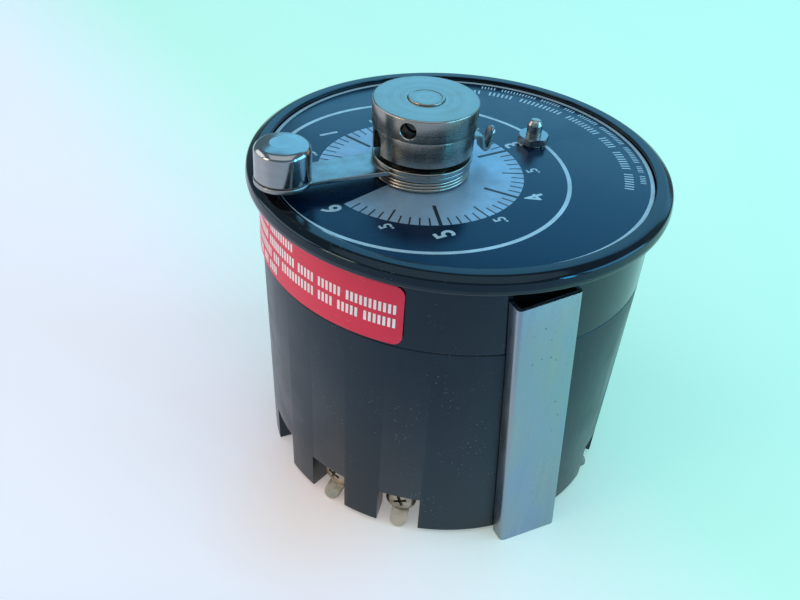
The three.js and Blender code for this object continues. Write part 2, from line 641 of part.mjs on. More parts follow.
function arborTrain(parent) {
  const arbor = group(parent, [...ARBOR, 0]);
  const low = REAR_PLATE_Z - 0.6;
  const high = FRONT_PLATE_Z + PLATE_THICK + 0.6;
  const pinion = gear(PINION_TEETH, MAIN_MODULE, WHEEL_Z - 1, WHEEL_Z + 3)
    .rotateZ(THREE.MathUtils.degToRad(ARBOR_ANGLE + 180 + 180 / PINION_TEETH));
  const shaft = turned([
    [0, low], [1.2, low], [1.2, REAR_PLATE_Z + PLATE_THICK + 0.3],
    [2.2, REAR_PLATE_Z + PLATE_THICK + 0.3], [2.2, FRONT_PLATE_Z - 0.3],
    [1.2, FRONT_PLATE_Z - 0.3], [1.2, high], [0, high],
  ], 24);
  add(arbor, "arbor_with_pinion", join(shaft, pinion), steel);
  const blank = gear(GEAR_TEETH, GEAR_MODULE, ARBOR_GEAR_Z, ARBOR_GEAR_Z + 1.8);
  const gearPlace = group(arbor, [0, 0, 0], MOTOR_ANGLE);
  add(gearPlace, "intermediate_gear", cut(blank, disc(2.3, 0, 100, 24)), brass);
}

function motor(parent) {
  const place = group(parent, [...MOTOR, 0]);
  const canR = 22;
  const low = 26;
  const high = REAR_PLATE_Z - 1.8;
  const wall = 1.2;
  add(place, "motor_can", turned([
    [canR - wall, low], [canR, low], [canR, high], [3.2, high], [3.2, high - 1.6],
    [canR - wall, high - 1.6], [canR - wall, low],
  ], 36), motorGrey);
  add(place, "motor_cover", ring(1.9, canR, low - 1.8, low - GAP, 36), motorGrey);
  add(place, "motor_coil", turned([
    [14, 31], [20, 31], [20, 32.2], [18.4, 32.2], [18.4, 45.8], [20, 45.8], [20, 47], [14, 47],
    [14, 31],
  ], 36), coilTape);
  add(place, "motor_rotor", turned([
    [1.7, 34], [3.6, 34], [3.6, 40], [11.6, 40], [11.6, 33], [12.8, 33], [12.8, 43], [1.7, 43],
    [1.7, 34],
  ], 36), steel);
  const pinion = gear(PINION_TEETH, GEAR_MODULE, ARBOR_GEAR_Z - 2, ARBOR_GEAR_Z + 3.5)
    .rotateZ(THREE.MathUtils.degToRad(MOTOR_ANGLE + 180 + 180 / PINION_TEETH));
  const shaft = disc(1.6, low - 1.2, ARBOR_GEAR_Z + 4.5, 24);
  add(place, "motor_shaft", join(shaft, pinion), steel);
}

// ---- Snap switch worked by the cam ----
function snapSwitch(parent) {
  const bodyX = 14.4;
  const bodyY = -13;
  const low = REAR_PLATE_Z + PLATE_THICK + GAP;
  const plungerY = -7;
  const plungerZ = 62.3;
  const body = box(12, 22, 9.6, [bodyX + 6, bodyY, low + 4.8]);
  const rod = (radius, from, to) =>
    disc(radius, from, to, 16).rotateY(Math.PI / 2).translate(0, plungerY, plungerZ);
  add(parent, "switch_body", cut(body, rod(1.4, bodyX - 1, bodyX + 5)), phenolic);
  add(parent, "switch_plunger", rod(1.3, bodyX - 1.2, bodyX + 3.4), whitePlastic);
  const leafX = CAM_R + 0.35;
  const thick = 0.4;
  const leaf = outline([
    [bodyX - 0.1, bodyY - 10], [bodyX - 0.1, bodyY - 6], [bodyX - 0.5, bodyY - 6],
    [bodyX - 0.5, bodyY - 9.6], [leafX + thick, bodyY - 7.2], [leafX + thick, HUB_Y + 3],
    [leafX + 1.4, HUB_Y + 5], [leafX + 1, HUB_Y + 5.2], [leafX, HUB_Y + 3.2],
    [leafX, bodyY - 7.4], [bodyX - 0.9, bodyY - 10],
  ]);
  add(parent, "switch_leaf", slab(leaf, CAM_Z - 0.2, CAM_Z + 4.6), springSteel);
}

const face = group(timer, [0, 0, DIAL_Z]);
frontCover(face);
dial(face);
sideLabel(face);
stopPost(face);
rearCase(timer);
caseScrews(timer);
terminals(timer);
brackets(timer);
settingHead(timer);
bushing(timer);
movementPlates(timer);
driveTrain(timer);
arborTrain(timer);
motor(timer);
snapSwitch(timer);

export default timer;
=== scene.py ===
"""A round panel-mount interval timer, lying on its back with its dial up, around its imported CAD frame."""

import json
import math
import random

import bmesh
import bpy
from mathutils import Matrix, Quaternion, Vector


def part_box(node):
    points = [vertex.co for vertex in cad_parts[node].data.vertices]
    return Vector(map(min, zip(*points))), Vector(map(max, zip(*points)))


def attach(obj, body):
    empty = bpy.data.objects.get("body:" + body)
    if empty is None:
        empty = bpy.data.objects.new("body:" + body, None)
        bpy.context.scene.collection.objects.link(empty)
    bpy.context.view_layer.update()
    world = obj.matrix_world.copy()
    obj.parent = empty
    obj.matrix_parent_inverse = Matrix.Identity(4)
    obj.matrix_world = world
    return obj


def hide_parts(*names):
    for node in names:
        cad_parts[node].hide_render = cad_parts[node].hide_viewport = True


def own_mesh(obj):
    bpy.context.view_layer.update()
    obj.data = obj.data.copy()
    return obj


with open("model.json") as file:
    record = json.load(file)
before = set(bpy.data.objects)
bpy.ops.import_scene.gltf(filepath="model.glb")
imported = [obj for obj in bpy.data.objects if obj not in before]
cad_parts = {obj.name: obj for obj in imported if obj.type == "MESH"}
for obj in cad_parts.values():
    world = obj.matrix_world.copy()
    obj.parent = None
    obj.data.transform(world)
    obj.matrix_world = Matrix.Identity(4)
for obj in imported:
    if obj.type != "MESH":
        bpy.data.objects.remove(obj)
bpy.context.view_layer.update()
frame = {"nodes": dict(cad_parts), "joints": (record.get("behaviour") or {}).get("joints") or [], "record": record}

# ---- Dimensions, in millimetres unless a name says otherwise ----
MM = 0.001
SLOT_OF = {s["node"]: s["material_slot"] for s in frame["record"]["subparts"]}
JOINT = {joint["name"]: joint for joint in frame["joints"]}


def low(node):
    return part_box(node)[0] / MM


def high(node):
    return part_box(node)[1] / MM


def centre(node):
    return (low(node) + high(node)) / 2


DIAL_Z = high("dial_plate").z
DIAL_R = high("dial_plate").x
BEZEL_R = high("front_cover").x
SEAM_Z = (low("front_cover").z + high("rear_case").z) / 2
RIM_Z = low("rear_case").z
HUB = Vector([v / MM for v in JOINT["spindle_turn"]["pos_m"][:2]])
GRIP = centre("arm_grip").xy - HUB
ARM_ANGLE = math.degrees(math.atan2(GRIP.y, GRIP.x))
GRIP_REACH = GRIP.length
POST = centre("stop_post").xy
POST_R = (high("stop_post").y - low("stop_post").y) / 2

SKIRT_R = 53.4
SEAM_R = 53
REAR_R = 50.5
WALL = 2.7
RIM_DEEP = 7
FLOOR_Z = 13.3
FLOOR_THICK = 3
BEZEL_UNDER = 3.5  # the bezel's seating face, below the dial
BEZEL_PROUD = 1.25
FRONT_WALL = 3.2  # inside of the front wall, below the dial
DIAL_THICK = 0.8
HUB_HOLE_R = 5
POST_HOLE_R = POST_R + 0.1
CASE_TURN = -4  # degrees, the rear case is clocked a little off the dial
TERMINAL_AXIS = CASE_TURN + 90  # the middle of a row of notches
NOTCH_PITCH = 25.4  # degrees
NOTCH_WIDTH = 12
NOTCH_PLACES = (-2, -1, 0, 1, 2)
FITTED_NOTCHES = (2, 1, -2)  # the places in each row that carry a terminal
BRACKET_REACH = 54.9  # outer face of the web from the case axis, at the foot
BRACKET_WIDTH = 17.6
BRACKET_DEEP = 6.5
BRACKET_TOP = 6.4  # front end, below the dial
BRACKET_SPLAY = 1  # degrees outwards
BRACKET_LEAN = {"right": 0.0, "left": 4.9}  # degrees sideways, from play round the screw
BRACKET_SCREW_R = 42
SHEET = 1.1
COLLAR_R = 13.1
SHAFT_HOLE_R = 3.32
BLADE_HALF = 1.7  # half the pointer's width

# The printed scale
SCALE_ZERO = 75  # degrees from +X, the end of the scale that reads 0
SCALE_STEP = 55  # degrees for one unit, clockwise
SCALE_UNITS = 6
SCALE_R = 27.2
SCALE_INNER_R = 7
RING_R = 39.2
BORDER_R = 51.45
INK_Z = DIAL_Z + 0.01  # underside of the printing
INK = 0.03  # thickness of the printing
FIGURE_SQUEEZE = 0.86  # width of the figures against the font's own
FIGURE_WEIGHT = 0.02  # how far the strokes are thickened, as a share of the size

ROUND = 256  # facets round the case
FINE = 128  # facets round a turned part


# ---- Mesh helpers ----
def polar(radius, degrees, about=(0, 0)):
    angle = math.radians(degrees)
    return (about[0] + radius * math.cos(angle), about[1] + radius * math.sin(angle))


def rounded(points, steps=5, closed=True):
    """Corners given as (x, y, radius) become arcs of that radius."""
    result = []
    count = len(points)
    for i, point in enumerate(points):
        corner = Vector(point[:2])
        radius = point[2] if len(point) > 2 else 0
        if not radius or (not closed and i in (0, count - 1)):
            result.append(tuple(corner))
            continue
        before = (Vector(points[i - 1][:2]) - corner)
        after = (Vector(points[(i + 1) % count][:2]) - corner)
        turn = before.angle(after)
        reach = min(radius / math.tan(turn / 2), before.length * 0.49, after.length * 0.49)
        start = corner + before.normalized() * reach
        end = corner + after.normalized() * reach
        for step in range(steps + 1):
            t = step / steps
            result.append(tuple((1 - t) ** 2 * start + 2 * t * (1 - t) * corner + t * t * end))
    return result


def make(name, verts, faces, sharp=32):
    """A mesh object from points in millimetres, smooth but for edges that turn more than sharp degrees."""
    mesh = bpy.data.meshes.new(name)
    mesh.from_pydata([tuple(c * MM for c in v) for v in verts], [], faces)
    obj = bpy.data.objects.new(name, mesh)
    bpy.context.scene.collection.objects.link(obj)
    tidy(obj, sharp)
    return obj


def tidy(obj, sharp=32, weld=1e-7):
    bm = bmesh.new()
    bm.from_mesh(obj.data)
    bmesh.ops.remove_doubles(bm, verts=bm.verts, dist=weld)
    bmesh.ops.recalc_face_normals(bm, faces=bm.faces)
    limit = math.radians(sharp)
    for face in bm.faces:
        face.smooth = True
    for edge in bm.edges:
        edge.smooth = len(edge.link_faces) == 2 and edge.calc_face_angle() < limit
    bm.to_mesh(obj.data)
    bm.free()


def lathe(name, profile, at=(0, 0), facets=FINE, sharp=32):
    """Turns an (r, z) profile about Z. A profile that doesn't end on the axis is closed on itself."""
    on_axis = profile[0][0] == 0 and profile[-1][0] == 0
    verts, rows = [], []
    for radius, z in profile:
        if radius == 0:
            verts.append((at[0], at[1], z))
            rows.append([len(verts) - 1] * facets)
            continue
        start = len(verts)
        for k in range(facets):
            x, y = polar(radius, 360 * k / facets, at)
            verts.append((x, y, z))
        rows.append([start + k for k in range(facets)])
    faces = []
    pairs = list(zip(rows, rows[1:])) + ([] if on_axis else [(rows[-1], rows[0])])
    for first, second in pairs:
        for k in range(facets):
            n = (k + 1) % facets
            quad = [first[k], first[n], second[n], second[k]]
            face = [v for i, v in enumerate(quad) if v not in quad[:i]]
            if len(face) > 2:
                faces.append(face)
    return make(name, verts, faces, sharp)


def prism(name, outline, bottom, top, sharp=32):
    """An outline pulled up from bottom to top."""
    count = len(outline)
    verts = [(x, y, bottom) for x, y in outline] + [(x, y, top) for x, y in outline]
    faces = [list(range(count))[::-1], list(range(count, 2 * count))]
    for i in range(count):
        n = (i + 1) % count
        faces.append([i, n, count + n, count + i])
    return make(name, verts, faces, sharp)


def drill(radius, bottom, top, at=(0, 0), facets=48):
    """A plain cylinder, used to cut a hole."""
    return lathe("hole", [(0, bottom), (radius, bottom), (radius, top), (0, top)], at, facets)


def block(name, size, at, turn=0):
    x, y, z = (s / 2 for s in size)
    obj = prism(name, [(-x, -y), (x, -y), (x, y), (-x, y)], -z, z)
    place(obj, Matrix.Translation(Vector(at) * MM))
    return place(obj, Matrix.Rotation(math.radians(turn), 4, "Z")) if turn else obj


def place(obj, matrix):
    obj.data.transform(matrix)
    return obj


def turn_z(obj, degrees, about=(0, 0)):
    shift = Matrix.Translation(Vector((about[0], about[1], 0)) * MM)
    return place(obj, shift @ Matrix.Rotation(math.radians(degrees), 4, "Z") @ shift.inverted())


def move(obj, x, y, z):
    return place(obj, Matrix.Translation(Vector((x, y, z)) * MM))


def drop(obj):
    mesh = obj.data
    bpy.data.objects.remove(obj)
    if mesh.users == 0:
        bpy.data.meshes.remove(mesh)


def apply(obj):
    """Makes the mesh what its modifiers show."""
    bpy.context.view_layer.update()
    shown = obj.evaluated_get(bpy.context.evaluated_depsgraph_get())
    mesh = bpy.data.meshes.new_from_object(shown)
    old = obj.data
    obj.modifiers.clear()
    obj.data = mesh
    mesh.name = old.name
    bpy.data.meshes.remove(old)
    return obj


def soften(obj, width, segments=2, angle=32, sharp=40):
    modifier = obj.modifiers.new("soften", "BEVEL")
    modifier.width = width * MM
    modifier.segments = segments
    modifier.limit_method = "ANGLE"
    modifier.angle_limit = math.radians(angle)
    modifier.use_clamp_overlap = True
    apply(obj)
    tidy(obj, sharp)
    return obj


def joined(name, objects, sharp=32):
    """One object from several, which are used up."""
    bm = bmesh.new()
    for obj in objects:
        bm.from_mesh(obj.data)
        drop(obj)
    mesh = bpy.data.meshes.new(name)
    bm.to_mesh(mesh)
    bm.free()
    obj = bpy.data.objects.new(name, mesh)
    bpy.context.scene.collection.objects.link(obj)
    tidy(obj, sharp)
    return obj


def carve(obj, tools, operation="DIFFERENCE", sharp=32):
    """Cuts each tool out of obj, or joins it on, and uses it up."""
    for tool in tools:
        modifier = obj.modifiers.new("carve", "BOOLEAN")
        modifier.operation = operation
        modifier.solver = "EXACT"
        modifier.object = tool
        apply(obj)
        drop(tool)
    tidy(obj, sharp, weld=2e-6)
    return obj


def tube(name, points, radius, sides=16):
    """A round wire along points, with domed ends."""
    path = [Vector(p) for p in points]
    verts, faces = [], []
    normal = None
    for i, point in enumerate(path):
        way = (path[min(i + 1, len(path) - 1)] - path[max(i - 1, 0)]).normalized()
        if normal is None:
            normal = way.orthogonal().normalized()
        normal = (normal - way * normal.dot(way)).normalized()
        side = way.cross(normal)
        for k in range(sides):
            angle = 2 * math.pi * k / sides
            verts.append(tuple(point + radius * (math.cos(angle) * normal + math.sin(angle) * side)))
    for i in range(len(path) - 1):
        for k in range(sides):
            n = (k + 1) % sides
            faces.append([i * sides + k, i * sides + n, (i + 1) * sides + n, (i + 1) * sides + k])
    faces.append(list(range(sides))[::-1])
    faces.append([(len(path) - 1) * sides + k for k in range(sides)])
    return make(name, verts, faces, 50)


# ---- Materials ----
class Nodes:
    """A material's node tree, with short ways to add and join nodes."""

    def __init__(self, name):
        self.material = bpy.data.materials.new(name)
        self.material.use_nodes = True
        self.tree = self.material.node_tree
        self.shader = self.tree.nodes["Principled BSDF"]

    def new(self, kind, **settings):
        node = self.tree.nodes.new(kind)
        for key, value in settings.items():
            setattr(node, key, value)
        return node

    def join(self, source, target):
        self.tree.links.new(source, target)

    def place(self):
        return self.new("ShaderNodeTexCoord").outputs["Object"]

    def noise(self, scale, detail=3.0, roughness=0.55, vector=None):
        node = self.new("ShaderNodeTexNoise")
        node.inputs["Scale"].default_value = scale
        node.inputs["Detail"].default_value = detail
        node.inputs["Roughness"].default_value = roughness
        self.join(vector or self.place(), node.inputs["Vector"])
        return node.outputs["Fac"]

    def stretched(self, scale):
        node = self.new("ShaderNodeMapping")
        node.inputs["Scale"].default_value = scale
        self.join(self.place(), node.inputs["Vector"])
        return node.outputs["Vector"]

    def remap(self, value, from_low, from_high, to_low=0.0, to_high=1.0):
        node = self.new("ShaderNodeMapRange")
        node.inputs["From Min"].default_value = from_low
        node.inputs["From Max"].default_value = from_high
        node.inputs["To Min"].default_value = to_low
        node.inputs["To Max"].default_value = to_high
        self.join(value, node.inputs["Value"])
        return node.outputs["Result"]

    def math(self, operation, first, second=0.0):
        node = self.new("ShaderNodeMath", operation=operation)
        for socket, value in zip(node.inputs, (first, second)):
            if isinstance(value, (int, float)):
                socket.default_value = value
            else:
                self.join(value, socket)
        return node.outputs["Value"]

    def mix(self, factor, first, second):
        node = self.new("ShaderNodeMix", data_type="RGBA")
        self.join(factor, node.inputs[0])
        for socket, value in ((node.inputs[6], first), (node.inputs[7], second)):
            if isinstance(value, tuple):
                socket.default_value = (*value, 1)
            else:
                self.join(value, socket)
        return node.outputs[2]

    def specks(self, scale, size):
        """1 inside scattered small round spots, and 0 elsewhere."""
        node = self.new("ShaderNodeTexVoronoi")
        node.inputs["Scale"].default_value = scale
        self.join(self.place(), node.inputs["Vector"])
        near = self.remap(node.outputs["Distance"], size, size * 0.6)
        patchy = self.remap(self.noise(scale * 0.13), 0.5, 0.62)
        return self.math("MULTIPLY", near, patchy)

    def bump(self, height, strength, distance):
        node = self.new("ShaderNodeBump")
        node.inputs["Strength"].default_value = strength
        node.inputs["Distance"].default_value = distance
        self.join(height, node.inputs["Height"])
        self.join(node.outputs["Normal"], self.shader.inputs["Normal"])

    def set(self, **values):
        names = {"anisotropy": "Anisotropic", "tint": "Specular Tint",
                 "glow": "Emission Color", "glow_strength": "Emission Strength"}
        for key, value in values.items():
            socket = self.shader.inputs[names.get(key, key.replace("_", " ").title())]
            if isinstance(value, (int, float)):
                socket.default_value = value
            elif isinstance(value, tuple):
                socket.default_value = (*value, 1)
            else:
                self.join(value, socket)

    def toward(self, direction, first, last):
        """0 to 1 as the distance from the middle, measured in that direction, goes from first to last."""
        turned = self.new("ShaderNodeMapping")
        turned.inputs["Rotation"].default_value = (0, 0, math.radians(-direction))
        self.join(self.place(), turned.inputs["Vector"])
        split = self.new("ShaderNodeSeparateXYZ")
        self.join(turned.outputs["Vector"], split.inputs[0])
        return self.remap(split.outputs["X"], first * MM, last * MM)

    def distance(self, about):
        """Distance in metres from the vertical line through a point."""
        split = self.new("ShaderNodeSeparateXYZ")
        self.join(self.place(), split.inputs[0])
        x = self.math("SUBTRACT", split.outputs["X"], about[0] * MM)
        y = self.math("SUBTRACT", split.outputs["Y"], about[1] * MM)
        square = self.math("ADD", self.math("MULTIPLY", x, x), self.math("MULTIPLY", y, y))
        return self.math("SQRT", square)

    def radial(self, about):
        """The vector (distance from the turning axis, 0, height), which runs round a turned part."""
        split = self.new("ShaderNodeSeparateXYZ")
        self.join(self.place(), split.inputs[0])
        combine = self.new("ShaderNodeCombineXYZ")
        self.join(self.distance(about), combine.inputs["X"])
        self.join(split.outputs["Z"], combine.inputs["Z"])
        return combine.outputs["Vector"]


def moulding(name, colour, gloss, dull, dust):
    """Black phenolic moulding with handling smears, faint orange peel and specks of dust."""
    n = Nodes(name)
    smear = n.remap(n.noise(38, 5, 0.62), 0.36, 0.68)
    drag = n.remap(n.noise(1, 4, 0.6, n.stretched((90, 90, 14))), 0.42, 0.7)
    worn = n.math("MAXIMUM", smear, n.math("MULTIPLY", drag, 0.7))
    spots = n.math("MULTIPLY", n.specks(900, 0.16), dust)
    greyed = n.mix(n.math("MULTIPLY", worn, 0.55), colour, tuple(c * 2.1 + 0.003 for c in colour))
    n.set(base_color=n.mix(spots, greyed, (0.3, 0.3, 0.28)), roughness=n.remap(worn, 0, 1, gloss, dull))
    n.set(tint=(0.42, 0.74, 1.0))
    n.bump(n.math("ADD", n.noise(420, 2), n.math("MULTIPLY", n.noise(60, 2), 3.0)), 0.1, 0.00012)
    return n.material


def enamel(name, colour):
    """Smooth baked enamel with a haze and hairline scratches."""
    n = Nodes(name)
    haze = n.remap(n.noise(46, 4, 0.6), 0.35, 0.7)
    hairs = n.remap(n.noise(1, 5, 0.7, n.stretched((900, 60, 60))), 0.58, 0.8)
    n.set(base_color=n.mix(haze, colour, tuple(c * 1.5 + 0.001 for c in colour)), tint=(0.14, 0.62, 1.0))
    n.set(roughness=n.math("ADD", n.remap(haze, 0, 1, 0.2, 0.3), n.math("MULTIPLY", hairs, 0.12)))
    n.bump(n.noise(700, 2), 0.06, 0.00006)
    return n.material


def printed(name, colour, metallic, roughness):
    """Screen-printed ink, slightly uneven in cover."""
    n = Nodes(name)
    uneven = n.noise(160, 5, 0.65)
    n.set(base_color=n.mix(n.remap(uneven, 0.35, 0.75), colour, tuple(c * 0.78 for c in colour)))
    n.set(metallic=metallic, roughness=n.remap(uneven, 0.3, 0.7, roughness - 0.05, roughness + 0.08))
    n.bump(n.noise(2600, 2), 0.12, 0.00004)
    return n.material


def turned_metal(name, colour, about, roughness, tool_marks=0.22):
    """Lathe-turned metal: fine circular tool marks, a slow wander in tone, and a little staining."""
    n = Nodes(name)
    around = n.radial(about)
    marks = n.noise(5200, 2, 0.5, around)
    bands = n.noise(520, 2, 0.5, around)
    stain = n.remap(n.noise(150, 5, 0.65), 0.48, 0.74)
    tone = n.mix(n.remap(bands, 0.3, 0.7), colour, tuple(c * 0.86 for c in colour))
    n.set(base_color=n.mix(n.math("MULTIPLY", stain, 0.35), tone, (0.34, 0.3, 0.25)))
    n.set(metallic=1.0, anisotropy=0.35)
    rough = n.math("ADD", n.remap(marks, 0.3, 0.7, roughness - 0.05, roughness + 0.06),
                   n.math("MULTIPLY", stain, 0.1))
    n.set(roughness=rough)
    n.bump(n.math("ADD", marks, n.math("MULTIPLY", bands, 0.6)), tool_marks, 0.00003)
    return n.material


def plain_metal(name, colour, roughness, stained=(0.3, 0.26, 0.2), staining=0.3):
    """Drawn, pressed or machined metal: cloudy, lightly scratched, and stained in places."""
    n = Nodes(name)
    cloud = n.noise(210, 5, 0.62)
    scratch = n.noise(1, 4, 0.7, n.stretched((1500, 140, 900)))
    stain = n.math("MULTIPLY", n.remap(cloud, 0.5, 0.72), staining)
    clean = n.mix(n.remap(scratch, 0.3, 0.7), colour, tuple(c * 0.85 for c in colour))
    n.set(base_color=n.mix(stain, clean, stained))
    n.set(metallic=1.0, roughness=n.remap(cloud, 0.3, 0.75, roughness - 0.06, roughness + 0.14))
    n.bump(n.math("ADD", scratch, cloud), 0.14, 0.00003)
    return n.material


def chromate_zinc(name):
    """Zinc plate under a chromate film, whose thickness drifts between gold, green and violet."""
    n = Nodes(name)
    drift = n.noise(1, 4, 0.55, n.stretched((42, 42, 17)))
    ramp = n.new("ShaderNodeValToRGB")
    stops = ((0.0, (0.37, 0.32, 0.2)), (0.36, (0.36, 0.37, 0.31)), (0.52, (0.29, 0.36, 0.4)),
             (0.66, (0.26, 0.34, 0.47)), (1.0, (0.34, 0.33, 0.43)))
    for position, colour in stops[1:-1]:
        ramp.color_ramp.elements.new(position).color = (*colour, 1)
    ramp.color_ramp.elements[0].color = (*stops[0][1], 1)
    ramp.color_ramp.elements[-1].color = (*stops[-1][1], 1)
    n.join(drift, ramp.inputs["Fac"])
    grain = n.noise(1, 4, 0.65, n.stretched((700, 700, 45)))
    pits = n.specks(420, 0.14)
    n.set(base_color=n.mix(pits, ramp.outputs["Color"], (0.14, 0.12, 0.09)))
    n.set(metallic=1.0, roughness=n.remap(grain, 0.3, 0.72, 0.24, 0.42))
    n.bump(grain, 0.16, 0.00004)
    return n.material


def woven_tape(name, colour):
    """Cotton tape wound round the motor's coil."""
    n = Nodes(name)
    weave = n.new("ShaderNodeTexWave", bands_direction="Z")
    weave.inputs["Scale"].default_value = 900
    weave.inputs["Distortion"].default_value = 1.5
    n.join(n.place(), weave.inputs["Vector"])
    n.set(base_color=n.mix(weave.outputs["Fac"], colour, tuple(c * 0.6 for c in colour)), roughness=0.7)
    n.bump(weave.outputs["Fac"], 0.4, 0.0001)
    return n.material


def plain_plastic(name, colour, roughness):
    n = Nodes(name)
    cloud = n.noise(120, 4)
    n.set(base_color=n.mix(n.remap(cloud, 0.3, 0.7), colour, tuple(c * 0.8 for c in colour)))
    n.set(roughness=n.remap(cloud, 0.3, 0.7, roughness - 0.05, roughness + 0.1))
    n.bump(n.noise(900, 2), 0.1, 0.00005)
    return n.material


def foil_label(name, colour):
    """Printed foil, faded in clouds and scuffed."""
    n = Nodes(name)
    cloud = n.noise(90, 5, 0.6)
    scuff = n.remap(n.noise(1, 5, 0.7, n.stretched((120, 120, 700))), 0.6, 0.78)
    faded = n.mix(n.remap(cloud, 0.3, 0.75), colour, (colour[0] * 1.1, colour[1] * 1.8, colour[2] * 1.5))
    n.set(base_color=n.mix(n.math("MULTIPLY", scuff, 0.25), faded, (0.75, 0.5, 0.5)))
    n.set(roughness=n.remap(cloud, 0.3, 0.7, 0.32, 0.46))
    n.bump(n.noise(300, 3), 0.08, 0.00008)
    return n.material


GLOSS_BLACK = moulding("gloss_black", (0.003, 0.003, 0.0038), 0.07, 0.18, 0.25)
SATIN_BLACK = moulding("satin_black", (0.006, 0.0064, 0.0078), 0.24, 0.42, 0.45)
DIAL_ENAMEL = enamel("dial_enamel", (0.0008, 0.006, 0.022))
SILVER_INK = printed("silver_ink", (0.36, 0.49, 0.62), 0.5, 0.42)
PALE_INK = printed("pale_ink", (0.5, 0.62, 0.68), 0.3, 0.4)
BLACK_INK = printed("black_ink", (0.012, 0.013, 0.015), 0.0, 0.4)
LABEL_INK = printed("label_ink", (0.9, 0.86, 0.84), 0.0, 0.42)
LABEL_RED = foil_label("label_red", (0.66, 0.008, 0.04))
NICKEL = turned_metal("nickel", (0.36, 0.345, 0.32), HUB, 0.22)
CHROME = turned_metal("chrome", (0.36, 0.37, 0.38), tuple(centre("arm_grip").xy), 0.13, 0.12)
POST_CHROME = turned_metal("post_chrome", (0.42, 0.4, 0.38), tuple(POST), 0.2, 0.2)
STEEL = plain_metal("steel", (0.34, 0.35, 0.36), 0.27)
SPRING_STEEL = plain_metal("spring_steel", (0.42, 0.39, 0.35), 0.26, staining=0.5)
CHROMATE = chromate_zinc("chromate")
TERMINAL = plain_metal("terminal_tin", (0.44, 0.39, 0.32), 0.34, (0.16, 0.11, 0.06), 0.8)
BRASS = plain_metal("brass", (0.62, 0.43, 0.16), 0.25, (0.3, 0.16, 0.06), 0.4)
MOTOR_GREY = plain_metal("motor_grey", (0.36, 0.38, 0.4), 0.4, staining=0.2)
COIL_TAPE = woven_tape("coil_tape", (0.5, 0.33, 0.08))
PHENOLIC = plain_plastic("phenolic", (0.09, 0.045, 0.02), 0.5)
NYLON = plain_plastic("nylon", (0.7, 0.69, 0.63), 0.45)


def ready(obj, body, material, *nodes, slot=None):
    """Gives a piece its material and body, and hides the CAD nodes it stands for."""
    obj.data.materials.clear()
    obj.data.materials.append(material)
    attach(obj, body)
    if nodes:
        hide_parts(*nodes)
    return obj


# ---- Case ----
def dial_holes(bottom):
    """The cutters for the holes of the hub and the stop post."""
    top = DIAL_Z + 3
    return [drill(HUB_HOLE_R, bottom, top, HUB, 64), drill(POST_HOLE_R, bottom, top, POST, 32)]


def build_cover():
    inner = SEAM_R - WALL
    top = DIAL_Z
    profile = rounded([
        (0, top - FRONT_WALL), (inner, top - FRONT_WALL, 1.5), (inner, SEAM_Z + 0.03, 0.3),
        (SEAM_R, SEAM_Z + 0.03, 0.35), (SKIRT_R, top - BEZEL_UNDER, 0.5),
        (BEZEL_R - 0.25, top - BEZEL_UNDER, 0.9), (BEZEL_R, top - 1.9, 0.9),
        (BEZEL_R - 0.25, top + 0.2, 1.2), (BEZEL_R - 2.1, top + BEZEL_PROUD, 1.8),
        (DIAL_R + 0.35, top + BEZEL_PROUD, 0.25), (DIAL_R + 0.3, top - DIAL_THICK - 0.03, 0.1),
        (0, top - DIAL_THICK - 0.05),
    ], steps=7, closed=False)
    cover = lathe("front_cover_moulding", profile, facets=ROUND, sharp=25)
    carve(cover, dial_holes(top - 12), sharp=25)
    ready(cover, "case", GLOSS_BLACK, "front_cover")


def notch_angles(places):
    return [TERMINAL_AXIS + side + place * NOTCH_PITCH for side in (0, 180) for place in places]


def build_rear_case():
    deep = REAR_R - RIM_DEEP
    top = SEAM_Z - 0.03
    profile = rounded([
        (0, FLOOR_Z), (deep, FLOOR_Z, 0.8), (deep, RIM_Z, 0.4), (REAR_R, RIM_Z, 0.45),
        (SEAM_R, top, 0.35), (SEAM_R - WALL, top, 0.3),
        (REAR_R - WALL, FLOOR_Z + FLOOR_THICK, 2), (0, FLOOR_Z + FLOOR_THICK),
    ], steps=4, closed=False)
    case = lathe("rear_case_moulding", profile, facets=ROUND, sharp=25)
    bosses = []
    for side in (0, 180):
        spot = polar(BRACKET_SCREW_R, CASE_TURN + side)
        shape = rounded([(0, RIM_Z), (5.5, RIM_Z, 0.4), (5.6, FLOOR_Z + 1), (0, FLOOR_Z + 1)], 3, False)
        bosses.append(lathe("boss", shape, spot, 48))
    carve(case, bosses, "UNION", 25)
    tools = []
    for angle in notch_angles(NOTCH_PLACES):
        tools.append(block("notch", (14, NOTCH_WIDTH, 2 * FLOOR_Z), (REAR_R - 2, 0, 0), angle))
    for side in (0, 180):
        spot = polar(BRACKET_SCREW_R, CASE_TURN + side)
        hole = [(0, 0), (3.9, 0), (3.9, 0.4), (2.25, 2.1), (2.25, 9.5), (0, 9.5)]
        tools.append(lathe("hole", hole, spot, 48))
    for node in ("case_screw_1", "case_screw_2"):
        spot = centre(node).xy
        seat = [(0, 0), (4.2, 0), (4.2, FLOOR_Z), (2, FLOOR_Z), (2, FLOOR_Z + 5), (0, FLOOR_Z + 5)]
        tools.append(lathe("seat", seat, spot, 48))
    carve(case, tools, sharp=25)
    soften(case, 0.22, 2, 55, 30)
    ready(case, "case", SATIN_BLACK, "rear_case")


# ---- Dial ----
def band_outline(radius, width, start, end, about, steps):
    """A strip of that width along an arc, as one closed outline."""
    angles = [start + (end - start) * i / steps for i in range(steps + 1)]
    outer = [polar(radius + width / 2, a, about) for a in angles]
    inner = [polar(radius - width / 2, a, about) for a in reversed(angles)]
    return outer + inner


